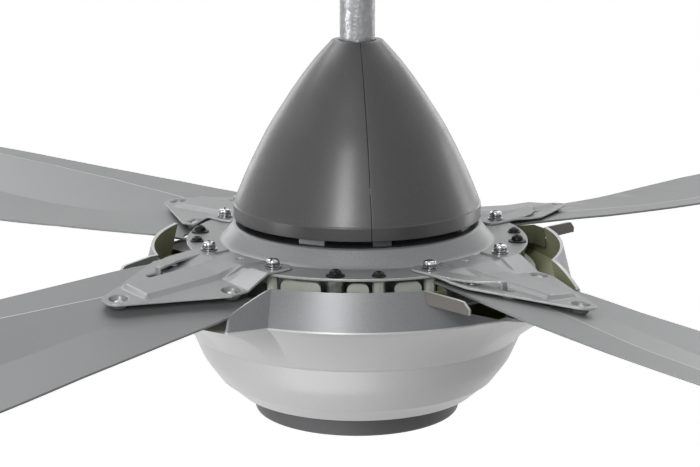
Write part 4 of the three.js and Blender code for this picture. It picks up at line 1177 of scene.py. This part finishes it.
def arm_sheet():
    """Flat grid cut to the arm's outline, with its inner edge on the hub's curve."""
    columns, rows, half = 60, 44, 52
    dimple_half, spacing, rivet_hole, screw_hole, middle_hole = 9, 0.8, 2.6, 2.7, 3
    bm = bmesh.new()
    bmesh.ops.create_grid(bm, x_segments=columns, y_segments=rows, size=1)
    for vert in bm.verts:
        across = vert.co.y * half
        hub = math.sqrt(HUB_REACH ** 2 - across ** 2)
        reach = hub + (ARM_TIP + 1 - hub) * (vert.co.x + 1) / 2
        vert.co = Vector((reach * MM, across * MM, 0))
    trim(bm, arm_outline())
    round_ears(bm)
    for (x0, y0), (x1, y1) in CREASES:
        for aside in (-SOFT_LINE, SOFT_LINE):
            shift_x, shift_y = (aside, 0) if x0 == x1 else (0, aside)
            cut_line(bm, [x0 + shift_x, y0 + shift_y], [x1 + shift_x, y1 + shift_y])
    for u, v, _ in RIVETS:
        refine(bm, u, v, dimple_half, spacing)
        punch_round(bm, u, v, rivet_hole)
    for side in (-1, 1):
        punch_round(bm, *on_circle(SCREW_REACH, side * SCREW_ANGLE), screw_hole)
    punch_round(bm, 119.5, 0, middle_hole)
    punch(bm, slot_corners(181, -22.5, 15, 6.5))
    punch(bm, [[132.5, -42.5], [148, -42.5], [148, -31], [132.5, -31]])
    return bm


def press_arm(bm):
    """Gives the flat sheet its pressed heights."""
    for vert in bm.verts:
        reach, across = vert.co.x / MM, vert.co.y / MM
        vert.co.z = (arm_height(reach, across) - dimple_depth(reach, across)) * MM


# Tongue over the step on the high side as [reach, outer side, inner side, drop below the pad]
TONGUE = [
    [130.7, -45.5, -31.5, 0], [145, -44.3, -30, 0], [158, -41, -26.5, 0], [168, -35, -22.6, 0],
    [175, -27.5, -20.2, 0], [178.2, -25.2, -19.8, 0.3], [179.6, -25, -19.8, 1.6], [180, -25, -19.8, 7.4],
]


def add_tongue(bm):
    """Strip that runs straight on from the pad over the step, and turns down into the slot."""
    edges = []
    for reach, outer, inner, drop in TONGUE:
        places = [Vector((reach * MM, across * MM, (PAD_TOP - drop) * MM)) for across in (outer, inner)]
        if not edges:
            edges = [bm.edges.new([bm.verts.new(place) for place in places])]
            continue
        edges, ends, _ = drawn_out(bm, edges)
        for vert, place in zip(sorted(ends, key=lambda v: v.co.y), places):
            vert.co = place
    bm.normal_update()
    bmesh.ops.reverse_faces(bm, faces=[f for f in bm.faces if f.normal.z < -0.1])


def make_arms():
    one = arm_sheet()
    press_arm(one)
    add_tongue(one)
    for index in ARMS:
        bm = placed(one.copy(), 0, 0, 0, arm_azimuth(index))
        nodes = [f"blade_arm_{index + 1}"]
        arm = add_piece(bm, f"arm_sheet_{index + 1}", "rotor", [ARM_PAINT, EDGE_HIGHLIGHT], nodes)
        # The sheet's cut edges get a painted highlight.
        thicken(arm, ARM_THICK, rim=1)
        round_edges(arm, 0.3, 60, 2).modifiers["rounded_edges"].use_clamp_overlap = False
    one.free()


def make_rivets():
    """Rivets in the arms' dimples, each with a low round head on a short shank."""
    shank, shank_depth, seat, sharp_angle = 2.2, 2.2, 0.1, 50
    head = smooth_run([[4, seat], [3.9, 1.6], [2.8, 2.9], [0, 3.6]])
    outline = [[0, -shank_depth], [shank, -shank_depth], [shank, seat]] + head
    for index in ARMS:
        a = math.radians(arm_azimuth(index))
        for (u, v, depth), letter in zip(RIVETS, "abc"):
            floor = arm_height(u, v) - depth
            bm = turned([[r, floor + z] for r, z in outline])
            placed(bm, u * math.cos(a) - v * math.sin(a), u * math.sin(a) + v * math.cos(a))
            rivet = add_piece(bm, f"rivet_{index + 1}{letter}", "rotor", [BUSHING], ())
            rivet.data.set_sharp_from_angle(angle=math.radians(sharp_angle))


# Screws

SHANK_LENGTH = 12


def split_washer(inner, outer, low, high):
    """Spring washer: nearly a full turn of a square section that climbs a little."""
    turn_share, climb = 0.97, 0.012
    section = [[inner, low], [outer, low], [outer, high], [inner, high]]
    return part_turn(section, TURN * turn_share, SMALL, climb)


def bright_screw():
    """Pan head with a cross and a slot, on a spring washer and a flat washer, seated at zero."""
    hole, washer_radius, washer_height, spring_radius = 2.5, 6.3, 1, 5.2
    shank, neck, low, high = 2.4, 4, 3, 6.9
    ring = [[hole, 0], [washer_radius, 0], [washer_radius, washer_height], [hole, washer_height]]
    spring = split_washer(hole, spring_radius, 1.35, 2.6)
    dome = smooth_run([[4.9, low + 0.2], [4.85, low + 2.1], [3.5, high - 0.4], [0, high]])
    head = turned([[0, -SHANK_LENGTH], [shank, -SHANK_LENGTH], [shank, low], [neck, low]] + dome)
    head = cut_away(head, [bar(12, 1.3, 2.8, high), bar(1.4, 5.2, 4.4, high)])
    return joined([spun(ring, SMALL), spring, head])


def make_arm_screws():
    model = bright_screw()
    turns = [20, 75, -35, 10, 50, -60, 85, 0]
    for index in ARMS:
        for k, side in enumerate((-1, 1)):
            x, y = on_circle(SCREW_REACH, arm_azimuth(index) + side * SCREW_ANGLE)
            bm = placed(model.copy(), x, y, PAD_TOP + SEAT, turns[2 * index + k])
            node = f"arm_screw_{index + 1}{'ab'[k]}"
            screw = add_piece(bm, f"bright_{node}", "rotor", [STEEL], [node])
            round_edges(screw, 0.15, 40, 2)
    model.free()


def black_screw(shank, head_radius, head_height, pad_radius, pad_height):
    """Flanged dome head with a cross, seated at zero."""
    top, pad_edge, cross_width, cross_depth = pad_height + head_height, 0.6, 1, 2.6
    dome = smooth_run([
        [head_radius, pad_height], [head_radius * 0.94, pad_height + head_height * 0.45],
        [head_radius * 0.55, top - 0.35], [0, top],
    ])
    pad = [[shank, 0], [pad_radius, 0], [pad_radius, pad_edge]]
    bm = turned([[0, -SHANK_LENGTH], [shank, -SHANK_LENGTH]] + pad + dome)
    cross = head_radius * 1.1
    cuts = [bar(cross, cross_width, cross_depth, top), bar(cross_width, cross, cross_depth, top)]
    return cut_away(bm, cuts)


def make_black_screws():
    """A wide and a slim screw in each gap between the arms."""
    reach, aside = 126, 7.2
    kinds = {"wide": (-1, (2.8, 4.7, 3.8, 7, 1.3)), "slim": (1, (2.2, 4.2, 2.6, 5.2, 1))}
    for kind, (side, size) in kinds.items():
        model = black_screw(*size)
        for index in ARMS:
            x, y = on_circle(reach, middle_azimuth(index) + side * aside)
            bm = placed(model.copy(), x, y, LEDGE + SEAT, 15 + 20 * index * side)
            node = f"flange_screw_{kind}_{index + 1}"
            screw = add_piece(bm, f"black_{node}", "rotor", [BLACK], [node])
            round_edges(screw, 0.15, 40, 2)
        model.free()


# Finishes of the CAD nodes that stay

KEPT = {
    "ceiling_bracket": GALVANISED, "hanger_bolt": STEEL, "hanger_nut": STEEL, "hanger_bush": RUBBER,
    "canopy_grub_screw": BLACK, "rod_coupler": CAST, "coupler_bolt": STEEL, "coupler_nut": STEEL,
    "controller_tray": CAST, "controller_box": PLASTIC_AND_GAP_SHADE, "motor_shaft": STEEL, "shaft_retainer": BLACK,
    "stator_core": CORE, "stator_winding": COPPER, "bearing_upper": STEEL, "bearing_lower": STEEL,
    "motor_case_upper": CAST, "motor_case_lower": CAST, "magnet_ring": MAGNET, "carrier_ring": CARRIER_PAINT,
}
for number in range(1, 5):
    KEPT[f"flange_bush_{number}"] = BUSHING
    KEPT[f"cover_screw_{number}"] = STEEL


def finish_kept_nodes():
    for name, finish in KEPT.items():
        for material_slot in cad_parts[name].material_slots:
            material_slot.material = finish


make_rod()
make_canopy()
make_cover_half("cover_half_right", "upper_cover_right", COVER_SEAM)
make_cover_half("cover_half_left", "upper_cover_left", COVER_SEAM + 180)
make_flange()
make_gap_blocks()
make_lower_cover()
make_shade_sheets()
make_cap()
for blade_index in ARMS:
    make_blade(blade_index)
make_arms()
make_rivets()
make_arm_screws()
make_black_screws()
finish_kept_nodes()


# Camera, light and background


def make_camera():
    tilt, pan = math.radians(76.75), 0.0038
    data = bpy.data.cameras.new("camera")
    data.sensor_width = 36
    data.lens = 98.97
    camera = bpy.data.objects.new("camera", data)
    camera.location = (0, -1.4769, -0.0965)
    camera.rotation_euler = (tilt, 0, pan)
    bpy.context.scene.collection.objects.link(camera)
    bpy.context.scene.camera = camera


def add_lamp(name, azimuth, elevation, width, height, power):
    """Soft lamp that faces the fan's middle from one distance and isn't seen itself."""
    middle, distance = Vector((0, 0, -0.43)), 2.6
    a, e = math.radians(azimuth), math.radians(elevation)
    offset = Vector((math.cos(a) * math.cos(e), math.sin(a) * math.cos(e), math.sin(e))) * distance
    data = bpy.data.lights.new(name, "AREA")
    data.shape = "RECTANGLE"
    data.size = width
    data.size_y = height
    data.energy = power
    lamp = bpy.data.objects.new(name, data)
    lamp.location = middle + offset
    lamp.rotation_euler = (-offset).to_track_quat("-Z", "Y").to_euler()
    lamp.visible_camera = False
    bpy.context.scene.collection.objects.link(lamp)


def make_lamps():
    add_lamp("front_strip", -103, 26, 0.6, 1.6, 48)
    add_lamp("left_low_softbox", -156, -9, 0.9, 0.9, 33)
    add_lamp("left_high_softbox", 140, 52, 1.4, 1.4, 25)
    add_lamp("right_high_softbox", 50, 50, 1.4, 1.4, 15)
    add_lamp("right_back_softbox", 35, 0, 0.7, 1.4, 9)
    add_lamp("back_strip", 90, 34, 2.4, 0.45, 4)
    add_lamp("left_rim_strip", 120, 12, 0.5, 1.4, 5.5)
    add_lamp("low_fill", -120, -50, 2.2, 2.2, 17)
    add_lamp("right_rim_strip", 62, 12, 0.5, 1.4, 5)


def shows_white(tree):
    """One for rays that see the background: from the camera, in reflections and through glass."""
    path = tree.nodes.new("ShaderNodeLightPath")
    seen = path.outputs["Is Camera Ray"]
    for kind in ("Is Glossy Ray", "Is Transmission Ray"):
        either = tree.nodes.new("ShaderNodeMath")
        either.operation = "MAXIMUM"
        tree.links.new(seen, either.inputs[0])
        tree.links.new(path.outputs[kind], either.inputs[1])
        seen = either.outputs[0]
    return seen


def make_world():
    soft, seen = 0.03, 1.0
    world = bpy.data.worlds.new("studio")
    bpy.context.scene.world = world
    world.use_nodes = True
    tree = world.node_tree
    background = tree.nodes["Background"]
    background.inputs["Color"].default_value = (1, 1, 1, 1)
    level = tree.nodes.new("ShaderNodeMapRange")
    set_inputs(level, {"To Min": soft, "To Max": seen})
    tree.links.new(shows_white(tree), level.inputs["Value"])
    tree.links.new(level.outputs["Result"], background.inputs["Strength"])


def make_floor():
    """Pale floor far below, seen as white where no shadow falls."""
    height, half, grey, roughness, glow = -5.2, 30, 0.8, 0.9, 0.96
    bm = bmesh.new()
    bmesh.ops.create_grid(bm, x_segments=1, y_segments=1, size=half)
    bmesh.ops.translate(bm, vec=(0, 0, height), verts=bm.verts)
    floor = loose_object(bm, "floor")
    material = bpy.data.materials.new("pale_floor")
    material.use_nodes = True
    tree = material.node_tree
    surface = tree.nodes["Principled BSDF"]
    surface.inputs["Base Color"].default_value = (grey, grey, grey, 1)
    surface.inputs["Roughness"].default_value = roughness
    surface.inputs["Emission Color"].default_value = (1, 1, 1, 1)
    level = tree.nodes.new("ShaderNodeMapRange")
    level.inputs["To Max"].default_value = glow
    tree.links.new(shows_white(tree), level.inputs["Value"])
    tree.links.new(level.outputs["Result"], surface.inputs["Emission Strength"])
    floor.data.materials.append(material)


make_camera()
make_lamps()
make_world()
make_floor()
bpy.context.scene.view_settings.view_transform = "Standard"
